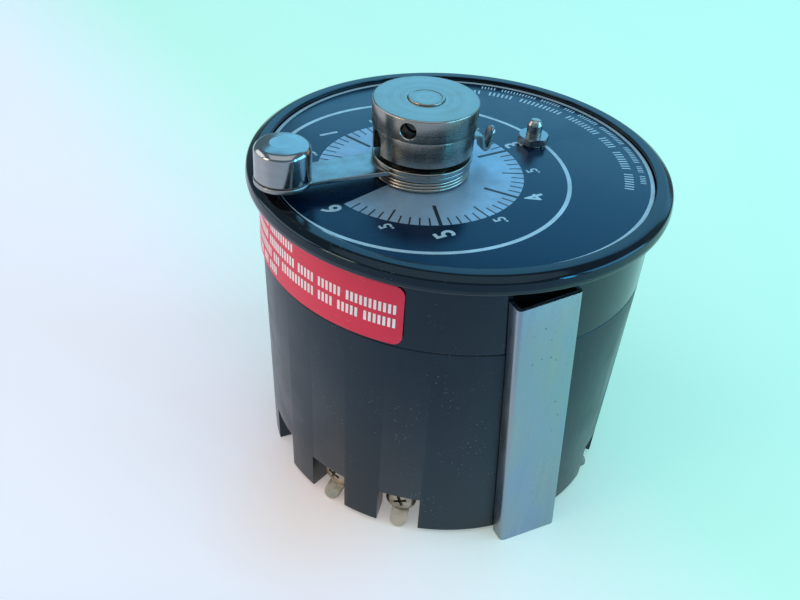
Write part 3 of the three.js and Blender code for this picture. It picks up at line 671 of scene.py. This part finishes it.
def printed_ring(name, radius, width, about):
    inner, outer = radius - width / 2, radius + width / 2
    top = INK_Z + INK
    profile = [(inner, INK_Z), (outer, INK_Z), (outer, top), (inner, top)]
    return lathe(name, profile, about, ROUND)


def tick(angle, inner, outer, width):
    """A mark of the scale, printed over the pale field."""
    half = width / 2
    shape = [(inner, -half), (outer, -half), (outer, half), (inner, half)]
    mark = prism("tick", shape, INK_Z + INK, INK_Z + 1.6 * INK)
    turn_z(mark, angle)
    return move(mark, *HUB, 0)


# How far each figure is printed anticlockwise of its mark, in degrees
FIGURE_NUDGE = {1: 4.8, 2: 4.5, 3: 3.8, 4: 4.2, 5: 0, 6: -0.4}
HALF_NUDGE = {0: 2, 1: 2.5, 2: 2.8, 3: 2.8, 4: 2.8, 5: 1}


def numeral(text, size, radius, angle):
    """A figure of the scale, upright on the dial and centred on its place."""
    curve = bpy.data.curves.new("numeral", "FONT")
    curve.body = text
    curve.size = size * MM
    curve.align_x = "CENTER"
    curve.offset = FIGURE_WEIGHT * size * MM
    curve.extrude = INK / 2 * MM
    curve.resolution_u = 6
    obj = bpy.data.objects.new("numeral", curve)
    bpy.context.scene.collection.objects.link(obj)
    bpy.context.view_layer.update()
    mesh = bpy.data.meshes.new_from_object(obj.evaluated_get(bpy.context.evaluated_depsgraph_get()))
    bpy.data.objects.remove(obj)
    solid = bpy.data.objects.new("numeral", mesh)
    bpy.context.scene.collection.objects.link(solid)
    ys = [v.co.y for v in mesh.vertices]
    xs = [v.co.x for v in mesh.vertices]
    middle = Vector(((min(xs) + max(xs)) / 2, (min(ys) + max(ys)) / 2, 0))
    x, y = polar(radius, angle, HUB)
    place(solid, Matrix.Translation(Vector((x, y, INK_Z + INK / 2)) * MM)
          @ Matrix.Diagonal((FIGURE_SQUEEZE, 1, 1, 1)) @ Matrix.Translation(-middle))
    return solid


def build_dial():
    plate = lathe("dial_face", rounded([
        (0, DIAL_Z - DIAL_THICK), (DIAL_R, DIAL_Z - DIAL_THICK), (DIAL_R, DIAL_Z, 0.15), (0, DIAL_Z),
    ], 3, False), facets=ROUND)
    carve(plate, dial_holes(DIAL_Z - 3))
    ready(plate, "case", DIAL_ENAMEL, "dial_plate")

    border = printed_ring("dial_border_line", BORDER_R, 1.0, (0, 0))
    ready(border, "case", PALE_INK, slot="dial_paint")
    circle = printed_ring("dial_circle_line", RING_R, 1.1, HUB)
    ready(circle, "case", PALE_INK, slot="dial_paint")

    last = SCALE_ZERO - SCALE_STEP * SCALE_UNITS
    middle = (SCALE_R + SCALE_INNER_R) / 2
    disc = band_outline(middle, SCALE_R - SCALE_INNER_R, SCALE_ZERO, last, HUB, 180)
    ready(prism("dial_scale_field", disc, INK_Z, INK_Z + INK), "case", SILVER_INK, slot="dial_paint")

    marks = []
    for tenth in range(SCALE_UNITS * 10 + 1):
        angle = SCALE_ZERO - SCALE_STEP * tenth / 10
        if tenth % 10 == 0:
            if 0 < tenth < SCALE_UNITS * 10:
                marks.append(tick(angle, 18, SCALE_R, 0.95))
        elif tenth % 5 == 0:
            marks.append(tick(angle, 21.6, SCALE_R, 0.5))
        else:
            marks.append(tick(angle, 23.9, SCALE_R, 0.42))
    ready(joined("dial_scale_marks", marks), "case", BLACK_INK, slot="dial_paint")

    figures = []
    for unit in range(SCALE_UNITS):
        angle = SCALE_ZERO - SCALE_STEP * unit
        half_way = angle - SCALE_STEP / 2 + HALF_NUDGE[unit]
        figures.append(numeral(str(unit + 1), 7.4, 31.2, angle - SCALE_STEP + FIGURE_NUDGE[unit + 1]))
        figures.append(numeral(".5", 4.6, 30.1, half_way))
    ready(joined("dial_figures", figures), "case", PALE_INK, slot="dial_paint")
    build_dial_border_marks()


def build_dial_border_marks():
    """Two rows of plain strokes round the foot of the dial, in groups."""
    rng = random.Random(4)
    strokes = []
    large = (45.35, 2.4, 0.5, 1.3, -133, -35)
    small = (49.1, 1.5, 0.36, 0.95, -128, -40)
    for radius, tall, wide, pitch, first, last in (large, small):
        angle = first
        while angle < last:
            for _ in range(rng.randint(4, 14)):
                if angle < last:
                    turn = math.degrees(wide / radius)
                    shape = band_outline(radius, tall, angle, angle + turn, (0, 0), 1)
                    strokes.append(prism("stroke", shape, INK_Z, INK_Z + INK))
                angle += math.degrees(pitch / radius)
            angle += math.degrees(1.6 * pitch / radius)
    ready(joined("dial_border_strokes", strokes), "case", PALE_INK, slot="dial_paint")


# ---- Label ----
LABEL_START = 39
LABEL_END = 135
LABEL_R = SKIRT_R + 0.15


def wrap(obj, radius):
    """Bends a flat sheet drawn in arc length (x), thickness (y) and height (z) round the case."""
    for v in obj.data.vertices:
        reach = radius + v.co.y / MM
        x, y = polar(reach, math.degrees(v.co.x / MM / radius))
        v.co.x, v.co.y = x * MM, y * MM
    return obj


def sheet_on_band(name, left, right, bottom, top, corner, thick, lift, least=3):
    """A rounded rectangle on the band, from arc angles and heights, finely divided along its length."""
    x0, x1 = (math.radians(a) * LABEL_R for a in (left, right))
    columns = max(least, int((x1 - x0) / 1.0))
    if corner:
        arc = [math.pi / 2 * i / 6 for i in range(7)]
        ends = [corner * (1 - math.cos(a)) for a in arc]
        xs = [x0 + e for e in ends] + [x0 + corner + (x1 - x0 - 2 * corner) * i / columns
                                       for i in range(1, columns)] + [x1 - e for e in reversed(ends)]
        drops = [corner * (1 - math.sin(a)) for a in arc]
        drops = drops + [0] * (columns - 1) + drops[::-1]
    else:
        xs = [x0 + (x1 - x0) * i / columns for i in range(columns + 1)]
        drops = [0] * len(xs)
    verts, faces = [], []
    inner, outer = lift, lift + thick
    for x, d in zip(xs, drops):
        verts += [(x, inner, bottom + d), (x, outer, bottom + d), (x, outer, top - d), (x, inner, top - d)]
    for i in range(len(xs) - 1):
        a, b = 4 * i, 4 * i + 4
        faces += [[a + k, a + (k + 1) % 4, b + (k + 1) % 4, b + k] for k in range(4)]
    faces += [[0, 1, 2, 3][::-1], [len(verts) - 4 + k for k in range(4)]]
    obj = make(name, verts, faces, 40)
    wrap(obj, LABEL_R)
    tidy(obj, 40)
    return obj


def build_label():
    bottom, top = low("side_label").z, high("side_label").z
    label = sheet_on_band("label_sheet", LABEL_START, LABEL_END, bottom, top, 2.6, 0.18, 0)
    ready(label, "case", LABEL_RED, "side_label")
    rng = random.Random(11)
    strokes = []
    right_margin = math.degrees(1.9 / LABEL_R)
    rows = ((14.4, 2.4, 101), (10.3, 2.7, LABEL_END), (6.3, 2.7, LABEL_END), (2.5, 2.5, 92))
    for up, tall, last in rows:
        height = bottom + up
        angle = last - right_margin
        while angle > LABEL_START + 4:
            for _ in range(rng.randint(3, 11)):
                wide = math.degrees(0.72 / LABEL_R)
                if angle - wide > LABEL_START + 2:
                    strokes.append(sheet_on_band("stroke", angle - wide, angle, height - tall / 2,
                                                 height + tall / 2, 0, 0.03, 0.17, 1))
                angle -= math.degrees(1.25 / LABEL_R)
            angle -= math.degrees(1.2 / LABEL_R)
    ready(joined("label_strokes", strokes), "case", LABEL_INK, slot="label_red")


# ---- Screws, terminals and brackets ----
def cross_recess(size, top, deep):
    """The cutter for a cross recess in a screw head that faces up."""
    arms = []
    for turn in (0, 90):
        w, h = size / 2, size / 9
        verts = [(-w, -h, top + 1), (w, -h, top + 1), (w, h, top + 1), (-w, h, top + 1),
                 (-w * 0.45, -h * 0.6, top - deep), (w * 0.45, -h * 0.6, top - deep),
                 (w * 0.45, h * 0.6, top - deep), (-w * 0.45, h * 0.6, top - deep)]
        faces = [[3, 2, 1, 0], [4, 5, 6, 7], [0, 1, 5, 4], [1, 2, 6, 5], [2, 3, 7, 6], [3, 0, 4, 7]]
        arms.append(turn_z(make("recess", verts, faces), turn))
    return arms


def build_terminals():
    """Six plates with binding-head screws, three to a row of notches."""
    tab_r = 45.2
    screw_z = 8.6
    for index, angle in enumerate(notch_angles(FITTED_NOTCHES)):
        name = f"terminal_{index + 1}"
        plate = terminal_plate(tab_r, screw_z)
        turn_z(plate, angle)
        plate.name = f"{name}_plate"
        ready(plate, "case", TERMINAL, f"terminal_plate_{index + 1}")
        screw = terminal_screw(tab_r + 1, screw_z, 20 + 57 * index)
        turn_z(screw, angle)
        screw.name = f"{name}_screw"
        ready(screw, "case", TERMINAL, f"terminal_screw_{index + 1}")


def terminal_plate(tab_r, screw_z):
    """A foot under the rear wall, an upright tab, and a rounded lug bent outwards below it."""
    thick = 0.9
    top = FLOOR_Z - 0.1
    bend_z, bend, reach, half = 4, 35.6, 3.4, 2.4
    upright = Matrix(((0, 0, 1, tab_r * MM), (1, 0, 0, 0), (0, 1, 0, 0), (0, 0, 0, 1)))
    tab = prism("tab", rounded([
        (4.4, top), (-4.4, top), (-4.4, 7.2, 0.8), (-2.9, 5.4, 0.8), (-half, bend_z - 0.3),
        (half, bend_z - 0.3), (2.9, 5.4, 0.8), (4.4, 7.2, 0.8),
    ], 3), 0, thick)
    place(tab, upright)
    end = [polar(half, -90 + 180 * i / 16, (reach, 0)) for i in range(17)]
    lug = prism("lug", [(-0.2, -half)] + end + [(-0.2, half)], -thick / 2, thick / 2)
    place(lug, Matrix.Rotation(math.radians(bend), 4, "Y"))
    move(lug, tab_r + thick / 2, 0, bend_z)
    foot_r = 38
    foot_at = ((tab_r + foot_r) / 2 + 0.2, 0, top - thick / 2)
    foot = block("foot", (tab_r - foot_r + 0.4, 8.8, thick), foot_at)
    carve(tab, [lug, foot], "UNION")
    hole = drill(2.3, -3, 3, facets=32)
    place(hole, Matrix.Rotation(math.radians(90), 4, "Y"))
    move(hole, tab_r, 0, screw_z)
    carve(tab, [hole])
    return soften(tab, 0.15, 2, 40, 35)


def terminal_screw(head, screw_z, clocking):
    profile = rounded([
        (0, head - 4.5), (2.05, head - 4.5, 0.3), (2.05, head), (4.3, head, 0.2), (4.3, head + 0.9, 0.5),
        (3.2, head + 1.75, 1.2), (0, head + 2.1),
    ], 5, False)
    screw = lathe("screw", profile, facets=64)
    carve(screw, cross_recess(5.2, head + 2.1, 1.7))
    turn_z(screw, clocking)
    place(screw, Matrix.Rotation(math.radians(90), 4, "Y"))
    return move(screw, 0, 0, screw_z)


def build_case_screws():
    for node in ("case_screw_1", "case_screw_2"):
        spot = centre(node).xy
        bottom, top = low(node).z, high(node).z
        neck = bottom + 2.2
        profile = rounded([
            (0, bottom), (3.3, bottom, 0.8), (3.8, bottom + 0.7, 0.2), (3.8, neck), (1.7, neck),
            (1.7, top, 0.3), (0, top),
        ], 4, False)
        screw = lathe(f"{node}_long", profile, spot, 48)
        carve(screw, [block("slot", (9, 0.9, 2), (spot.x, spot.y, bottom - 0.1))])
        ready(screw, "case", STEEL, node)


def bracket_outline():
    """The channel's section: a web with a flange at each side."""
    half = BRACKET_WIDTH / 2
    deep = BRACKET_DEEP
    return rounded([
        (-deep, -half), (0, -half, 1.3), (0, half, 1.3), (-deep, half), (-deep, half - SHEET),
        (-SHEET, half - SHEET, 0.5), (-SHEET, SHEET - half, 0.5), (-deep, SHEET - half),
    ], 6)


def build_brackets():
    """Channels that stand clear of the case, each with a tongue under the rear wall for its screw."""
    pivot = 24  # height about which a bracket leans and splays
    room = 0.35
    for name, side in (("right", 0), ("left", 180)):
        node = f"bracket_{name}"
        channel = prism(f"{node}_channel", bracket_outline(), -4 - pivot, DIAL_Z - BRACKET_TOP - pivot)
        place(channel, Matrix.Rotation(math.radians(BRACKET_LEAN[name]), 4, "X"))
        place(channel, Matrix.Rotation(math.radians(BRACKET_SPLAY), 4, "Y"))
        move(channel, BRACKET_REACH + 0.4, 0, pivot)
        envelope = lathe("envelope", [
            (0, -5), (REAR_R + room, -5), (REAR_R + room, RIM_Z), (SEAM_R + room, SEAM_Z),
            (SKIRT_R + room, DIAL_Z - BEZEL_UNDER), (SKIRT_R + room, DIAL_Z + 2), (0, DIAL_Z + 2),
        ], facets=ROUND)
        carve(channel, [envelope])
        carve(channel, [block("under", (60, 60, 10), (BRACKET_REACH, 0, -5))])
        thick = SHEET - 0.1
        inner, outer = BRACKET_SCREW_R - 5.5, BRACKET_REACH - SHEET / 2
        tongue = prism("tongue", rounded([
            (inner, -5.5, 3), (outer, -5.5), (outer, 5.5), (inner, 5.5, 3)], 6), 0, thick)
        carve(channel, [tongue], "UNION")
        hole = [(0, -1), (3.75, -1), (3.75, 0.2), (2.9, thick + 1), (0, thick + 1)]
        carve(channel, [lathe("hole", hole, (BRACKET_SCREW_R, 0), 48)])
        soften(channel, 0.18, 2, 50, 35)
        turn_z(channel, CASE_TURN + side)
        ready(channel, "case", CHROMATE, node)
        build_bracket_screw(name, CASE_TURN + side)


def build_bracket_screw(name, angle):
    profile = rounded([
        (0, 0.1), (3.6, 0.1), (3.6, 0.25), (2, 1.9, 0.3), (2, 8.4, 0.4), (0, 8.4)], 4, False)
    screw = lathe(f"bracket_{name}_screw", profile, facets=48)
    recess = cross_recess(4.4, 0, 1.4)
    for arm in recess:
        place(arm, Matrix.Rotation(math.pi, 4, "X"))
        move(arm, 0, 0, 0.1)
    carve(screw, recess)
    move(screw, BRACKET_SCREW_R, 0, 0)
    turn_z(screw, angle)
    ready(screw, "case", STEEL, f"bracket_screw_{name}")


# ---- Stop post ----
def build_stop_post():
    base = DIAL_Z
    post = lathe("stop_pin", rounded([
        (0, base - 6), (POST_R, base - 6, 0.3), (POST_R, base + 5.6, 0.5),
        (1.35, base + 6.95, 0.9), (0, base + 7.2),
    ], 6, False), POST, 48)
    ready(post, "case", POST_CHROME, "stop_post")
    bore = POST_R + 0.05
    washer = lathe("stop_lock_washer", rounded([
        (bore, base + 0.05), (4, base + 0.05, 0.1), (4, base + 0.45, 0.1), (bore, base + 0.45),
    ], 3), POST, 48)
    teeth = []
    for k in range(10):
        tooth = block("gap", (1.2, 0.6, 2), (4, 0, base), 36 * k)
        teeth.append(move(tooth, *POST, 0))
    carve(washer, teeth)
    ready(washer, "case", STEEL, "stop_washer")
    flats = 7.9 / 2
    corner = flats / math.cos(math.pi / 6)
    nut = prism("stop_hex_nut", [polar(corner, 60 * k) for k in range(6)], base + 0.5, base + 2.5)
    chamfer = lathe("chamfer", [
        (0, base), (flats - 0.1, base), (flats + 0.1, base + 0.55), (corner + 0.2, base + 0.9),
        (corner + 0.2, base + 2.1), (flats + 0.1, base + 2.45), (flats - 0.1, base + 3), (0, base + 3),
    ], facets=96)
    carve(nut, [chamfer], "INTERSECT", 20)
    carve(nut, [drill(bore, base, base + 4, facets=32)], sharp=20)
    turn_z(nut, 11.5)
    move(nut, *POST, 0)
    ready(nut, "case", STEEL, "stop_nut")


# ---- Setting head ----
def build_knob():
    """The knob with its set screw, sunk in a countersunk hole in the side."""
    base = high("collar").z + 0.05
    top = high("set_knob").z
    radius = 13.6
    bore = 4.83
    profile = rounded([
        (bore, base, 0.1), (radius, base, 0.25), (radius, top, 0.45), (bore, top, 0.12),
    ], 5)
    knob = lathe("knob_turned", profile, HUB, ROUND)
    angle = ARM_ANGLE + 47.6
    height = DIAL_Z + 17.5
    bit = lathe("bit", [
        (0, 3), (2.1, 3), (2.1, radius - 0.25), (2.45, radius + 0.2), (2.45, 20), (0, 20),
    ], facets=48)
    place(bit, Matrix.Rotation(math.radians(90), 4, "Y"))
    move(bit, 0, 0, height)
    turn_z(bit, angle)
    move(bit, *HUB, 0)
    carve(knob, [bit])
    ready(knob, "setting_head", NICKEL, "set_knob")

    screw = lathe("knob_grub_screw", rounded([
        (0, 4.95), (1.5, 4.95, 0.2), (1.95, 5.4, 0.1), (1.95, 9, 0.3), (0, 9)], 4, False), facets=32)
    socket = prism("socket", [polar(0.95, 60 * k) for k in range(6)], 7, 10)
    carve(screw, [socket])
    place(screw, Matrix.Rotation(math.radians(90), 4, "Y"))
    move(screw, 0, 0, height)
    turn_z(screw, angle)
    move(screw, *HUB, 0)
    ready(screw, "setting_head", STEEL, "knob_set_screw")


def build_collar():
    """A cup with an arched window over the arm, and a doorway opposite it for the pointer."""
    base, top = low("collar").z, high("collar").z
    radius, bore = COLLAR_R, 10
    under = top - 2.05
    profile = rounded([
        (SHAFT_HOLE_R, under, 0.1), (bore, under, 0.4), (bore, base, 0.15), (radius, base, 0.25),
        (radius, top, 0.3), (SHAFT_HOLE_R, top, 0.1),
    ], 4)
    collar = lathe("collar_turned", profile, HUB, ROUND)
    half = 2.4
    arch = [polar(half, 180 - 180 * i / 16, (0, base + 6 - half)) for i in range(17)]
    window = prism("window", [(half, base - 2), (-half, base - 2)] + arch, 0, 5)
    outward = Matrix(((0, 0, 1, (radius - 3.5) * MM), (1, 0, 0, 0), (0, 1, 0, 0), (0, 0, 0, 1)))
    place(window, outward)
    door = block("door", (6, 3.8, 3.4), (-radius, 0, base))
    for tool in (window, door):
        turn_z(tool, ARM_ANGLE)
        move(tool, *HUB, 0)
    carve(collar, [window, door])
    ready(collar, "setting_head", NICKEL, "collar")


def build_flange():
    base, top = low("hub_flange").z, high("hub_flange").z
    edge = top - 1.65
    profile = rounded([
        (SHAFT_HOLE_R, base), (COLLAR_R, base, 0.35), (COLLAR_R, edge, 0.3), (9, edge, 0.2),
        (9, top, 0.2), (SHAFT_HOLE_R, top),
    ], 4)
    ready(lathe("hub_flange_turned", profile, HUB, ROUND), "setting_head", NICKEL, "hub_flange")


def build_arm():
    half, tip_half, tip_r, hub_r = 5.6, 4.7, 7.4, 12.9
    leave = math.degrees(math.asin(half / hub_r))
    arrive = math.degrees(math.asin(tip_half / tip_r))
    hub_arc = [polar(hub_r, leave + (360 - 2 * leave) * i / 72) for i in range(73)]
    tip_arc = [polar(tip_r, arrive - 180 + 2 * (180 - arrive) * i / 48, (GRIP_REACH, 0)) for i in range(49)]
    arm = prism("set_arm_sheet", hub_arc + tip_arc, low("set_arm").z, high("set_arm").z)
    carve(arm, [drill(3.35, DIAL_Z, DIAL_Z + 9)])
    soften(arm, 0.22, 3, 40, 40)
    turn_z(arm, ARM_ANGLE)
    move(arm, *HUB, 0)
    ready(arm, "setting_head", STEEL, "set_arm")

    base, top = low("arm_grip").z, high("arm_grip").z
    grip = lathe("arm_grip_turned", rounded([
        (0, base), (6.9, base, 0.2), (7.2, base + 0.5, 0.2), (7.2, top - 1.5, 1.4), (6.3, top - 0.45, 1.4),
        (3.2, top - 0.05, 2), (0, top),
    ], 8, False), tuple(centre("arm_grip").xy), 96)
    ready(grip, "setting_head", CHROME, "arm_grip")


def build_pointer():
    """A strip bent down and up into an upright blade, drawn as (radius, height above the dial)."""
    bends = [(10.6, 8.5), (16.6, 8.5, 1.2), (17.25, 4.1, 1.1), (18.7, 4.3, 1.0), (19.9, 10.2)]
    line = [Vector(p) for p in rounded(bends, 6, False)]
    half = 0.4

    def offset(side):
        points = []
        for i, point in enumerate(line):
            way = (line[min(i + 1, len(line) - 1)] - line[max(i - 1, 0)]).normalized()
            points.append((point.x - side * way.y * half, point.y + side * way.x * half))
        return points

    strip = prism("pointer_strip", offset(-1) + offset(1)[::-1], -BLADE_HALF, BLADE_HALF)
    place(strip, Matrix.Rotation(math.radians(90), 4, "X"))
    arch = [polar(BLADE_HALF, 180 - 15 * i, (0, 8.5)) for i in range(13)]
    blank = prism("rounded_end", [(BLADE_HALF, 0), (-BLADE_HALF, 0)] + arch, 18, 22)
    place(blank, Matrix(((0, 0, 1, 0), (1, 0, 0, 0), (0, 1, 0, 0), (0, 0, 0, 1))))
    carve(blank, [block("foot", (10, 6, 12), (13.5, 0, 6))], "UNION")
    carve(strip, [blank], "INTERSECT")
    soften(strip, 0.12, 2, 45, 40)
    move(strip, 0, 0, DIAL_Z)
    turn_z(strip, ARM_ANGLE + 180)
    move(strip, *HUB, 0)
    ready(strip, "setting_head", STEEL, "pointer")


def build_spring():
    """An open coil under the arm, built at its resting length; the real spring shortens as the head is pressed."""
    wire, coil, turns = 0.4, 12.3, 2.4
    bottom, top = DIAL_Z + 0.3 + wire, low("set_arm").z - 0.1 - wire
    steps = 220
    points = []
    for i in range(steps + 1):
        x, y = polar(coil, ARM_ANGLE + 360 * turns * i / steps, HUB)
        points.append((x, y, bottom + (top - bottom) * i / steps))
    spring = tube("head_spring_wire", points, wire, 14)
    ready(spring, "drive", SPRING_STEEL, "head_spring")
    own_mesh(spring)


def build_spindle():
    bottom, top = low("spindle").z, high("spindle").z
    shoulder = high("collar").z + 0.02
    spindle = lathe("spindle_turned", rounded([
        (0, bottom), (3.2, bottom, 0.4), (3.2, shoulder), (4.75, shoulder, 0.1), (4.75, top, 0.3),
        (4.1, top, 0.2), (3.9, top - 0.12, 0.2), (0, top - 0.12),
    ], 4, False), HUB, 96)
    ready(spindle, "setting_head", NICKEL, "spindle")


# ---- The movement keeps its CAD shapes ----
def finish_movement():
    looks = {
        "brass": BRASS, "steel": STEEL, "spring_steel": SPRING_STEEL, "motor_grey": MOTOR_GREY,
        "coil_tape": COIL_TAPE, "phenolic": PHENOLIC, "white_plastic": NYLON,
    }
    for name, obj in frame["nodes"].items():
        if obj.hide_render:
            continue
        obj.data.materials.clear()
        obj.data.materials.append(looks[SLOT_OF[name]])


# ---- Floor, light and camera ----
CAMERA_AT = Vector((-195.66, 137.0, 219.17)) * MM
CAMERA_AIM = Vector((-10.85, 22.48, 59.07)) * MM
CAMERA_ROLL = 3.99
CAMERA_LENS = 44.83
CAMERA_SIDE = 145  # degrees from +X, the side of the object that the camera is on


def build_floor():
    """A pale floor with painted light: lavender at the picture's left and green-blue at its right as painted
    coloured light, a painted warm pool of light by the case, and painted shade towards the camera.
    """
    size = 3.0  # half the width, in metres
    mesh = bpy.data.meshes.new("floor")
    corners = [(-size, -size, 0), (size, -size, 0), (size, size, 0), (-size, size, 0)]
    mesh.from_pydata(corners, [], [[0, 1, 2, 3]])
    floor = bpy.data.objects.new("floor", mesh)
    bpy.context.scene.collection.objects.link(floor)
    n = Nodes("floor")
    # Painted coloured light: the floor runs from lavender to green-blue across the picture, standing in for the
    # colours of the lamps.
    lavender, sea_green = (0.88, 0.82, 0.86), (0.56, 0.88, 0.7)
    painted_warm_light, painted_shade_grey = (0.9, 0.66, 0.5), (0.6, 0.6, 0.66)
    tint = n.mix(n.toward(CAMERA_SIDE + 128, -52, 44), lavender, sea_green)
    # Painted pool of warm light by the case: up to 42% warm within 6 mm of a spot near the case, fading out by 34
    # mm.
    glow = n.remap(n.distance(polar(58, CAMERA_SIDE - 33)), 34 * MM, 6 * MM, 0, 0.42)
    tint = n.mix(glow, tint, painted_warm_light)
    # Painted shade: the floor turns grey from 75 to 170 mm towards the camera.
    tint = n.mix(n.toward(CAMERA_SIDE, 75, 170), tint, painted_shade_grey)
    n.set(base_color=tint, roughness=n.remap(n.noise(6, 3), 0.3, 0.7, 0.55, 0.7))
    # The floor glows faintly in its own painted colour, a painted lift that brightens it and softens its shadows.
    n.set(glow=tint, glow_strength=0.31)
    floor.data.materials.append(n.material)


def panel(name, from_camera, elevation, distance, width, height, colour, power):
    """A soft light, in metres, placed by its direction from the camera's side and its elevation."""
    data = bpy.data.lights.new(name, "AREA")
    data.shape = "RECTANGLE"
    data.size, data.size_y = width, height
    data.color = colour
    data.energy = power
    light = bpy.data.objects.new(name, data)
    bpy.context.scene.collection.objects.link(light)
    tilt = math.radians(elevation)
    x, y = polar(distance * math.cos(tilt), CAMERA_SIDE + from_camera)
    light.location = (x, y, distance * math.sin(tilt) + 0.06)
    aim = Vector((0, 0, 0.06)) - light.location
    light.rotation_mode = "QUATERNION"
    light.rotation_quaternion = aim.to_track_quat("-Z", "Y")
    light.visible_camera = False


def build_lights():
    world = bpy.data.worlds.new("studio")
    bpy.context.scene.world = world
    world.use_nodes = True
    background = world.node_tree.nodes["Background"]
    background.inputs["Color"].default_value = (0.45, 0.74, 0.9, 1)
    background.inputs["Strength"].default_value = 0.36
    panel("window", 165, 32, 1.3, 1.5, 0.9, (0.16, 0.64, 1.0), 6.2)
    panel("right_fill", 88, 18, 1.2, 0.8, 0.7, (0.22, 0.68, 1.0), 8)
    panel("blue_strip", 58, 9, 1.0, 0.1, 0.5, (0.1, 0.7, 1.0), 2.4)
    panel("left_wall", -92, 22, 1.3, 1.0, 0.7, (1.0, 0.94, 0.9), 4)
    panel("warm_lamp", -54, 12, 1.1, 0.34, 0.4, (1.0, 0.72, 0.46), 2.6)
    panel("ceiling", 0, 68, 1.3, 1.8, 1.4, (1.0, 0.95, 0.94), 6)


def build_camera():
    data = bpy.data.cameras.new("camera")
    data.lens = CAMERA_LENS
    camera = bpy.data.objects.new("camera", data)
    bpy.context.scene.collection.objects.link(camera)
    camera.location = CAMERA_AT
    camera.rotation_mode = "QUATERNION"
    look = (CAMERA_AIM - CAMERA_AT).to_track_quat("-Z", "Y")
    camera.rotation_quaternion = look @ Quaternion((0, 0, 1), math.radians(CAMERA_ROLL))
    bpy.context.scene.camera = camera


build_camera()
build_cover()
build_rear_case()
build_dial()
build_label()
build_terminals()
build_case_screws()
build_brackets()
build_stop_post()
build_knob()
build_collar()
build_flange()
build_arm()
build_pointer()
build_spring()
build_spindle()
finish_movement()
build_floor()
build_lights()
bpy.context.scene.view_settings.view_transform = "Standard"
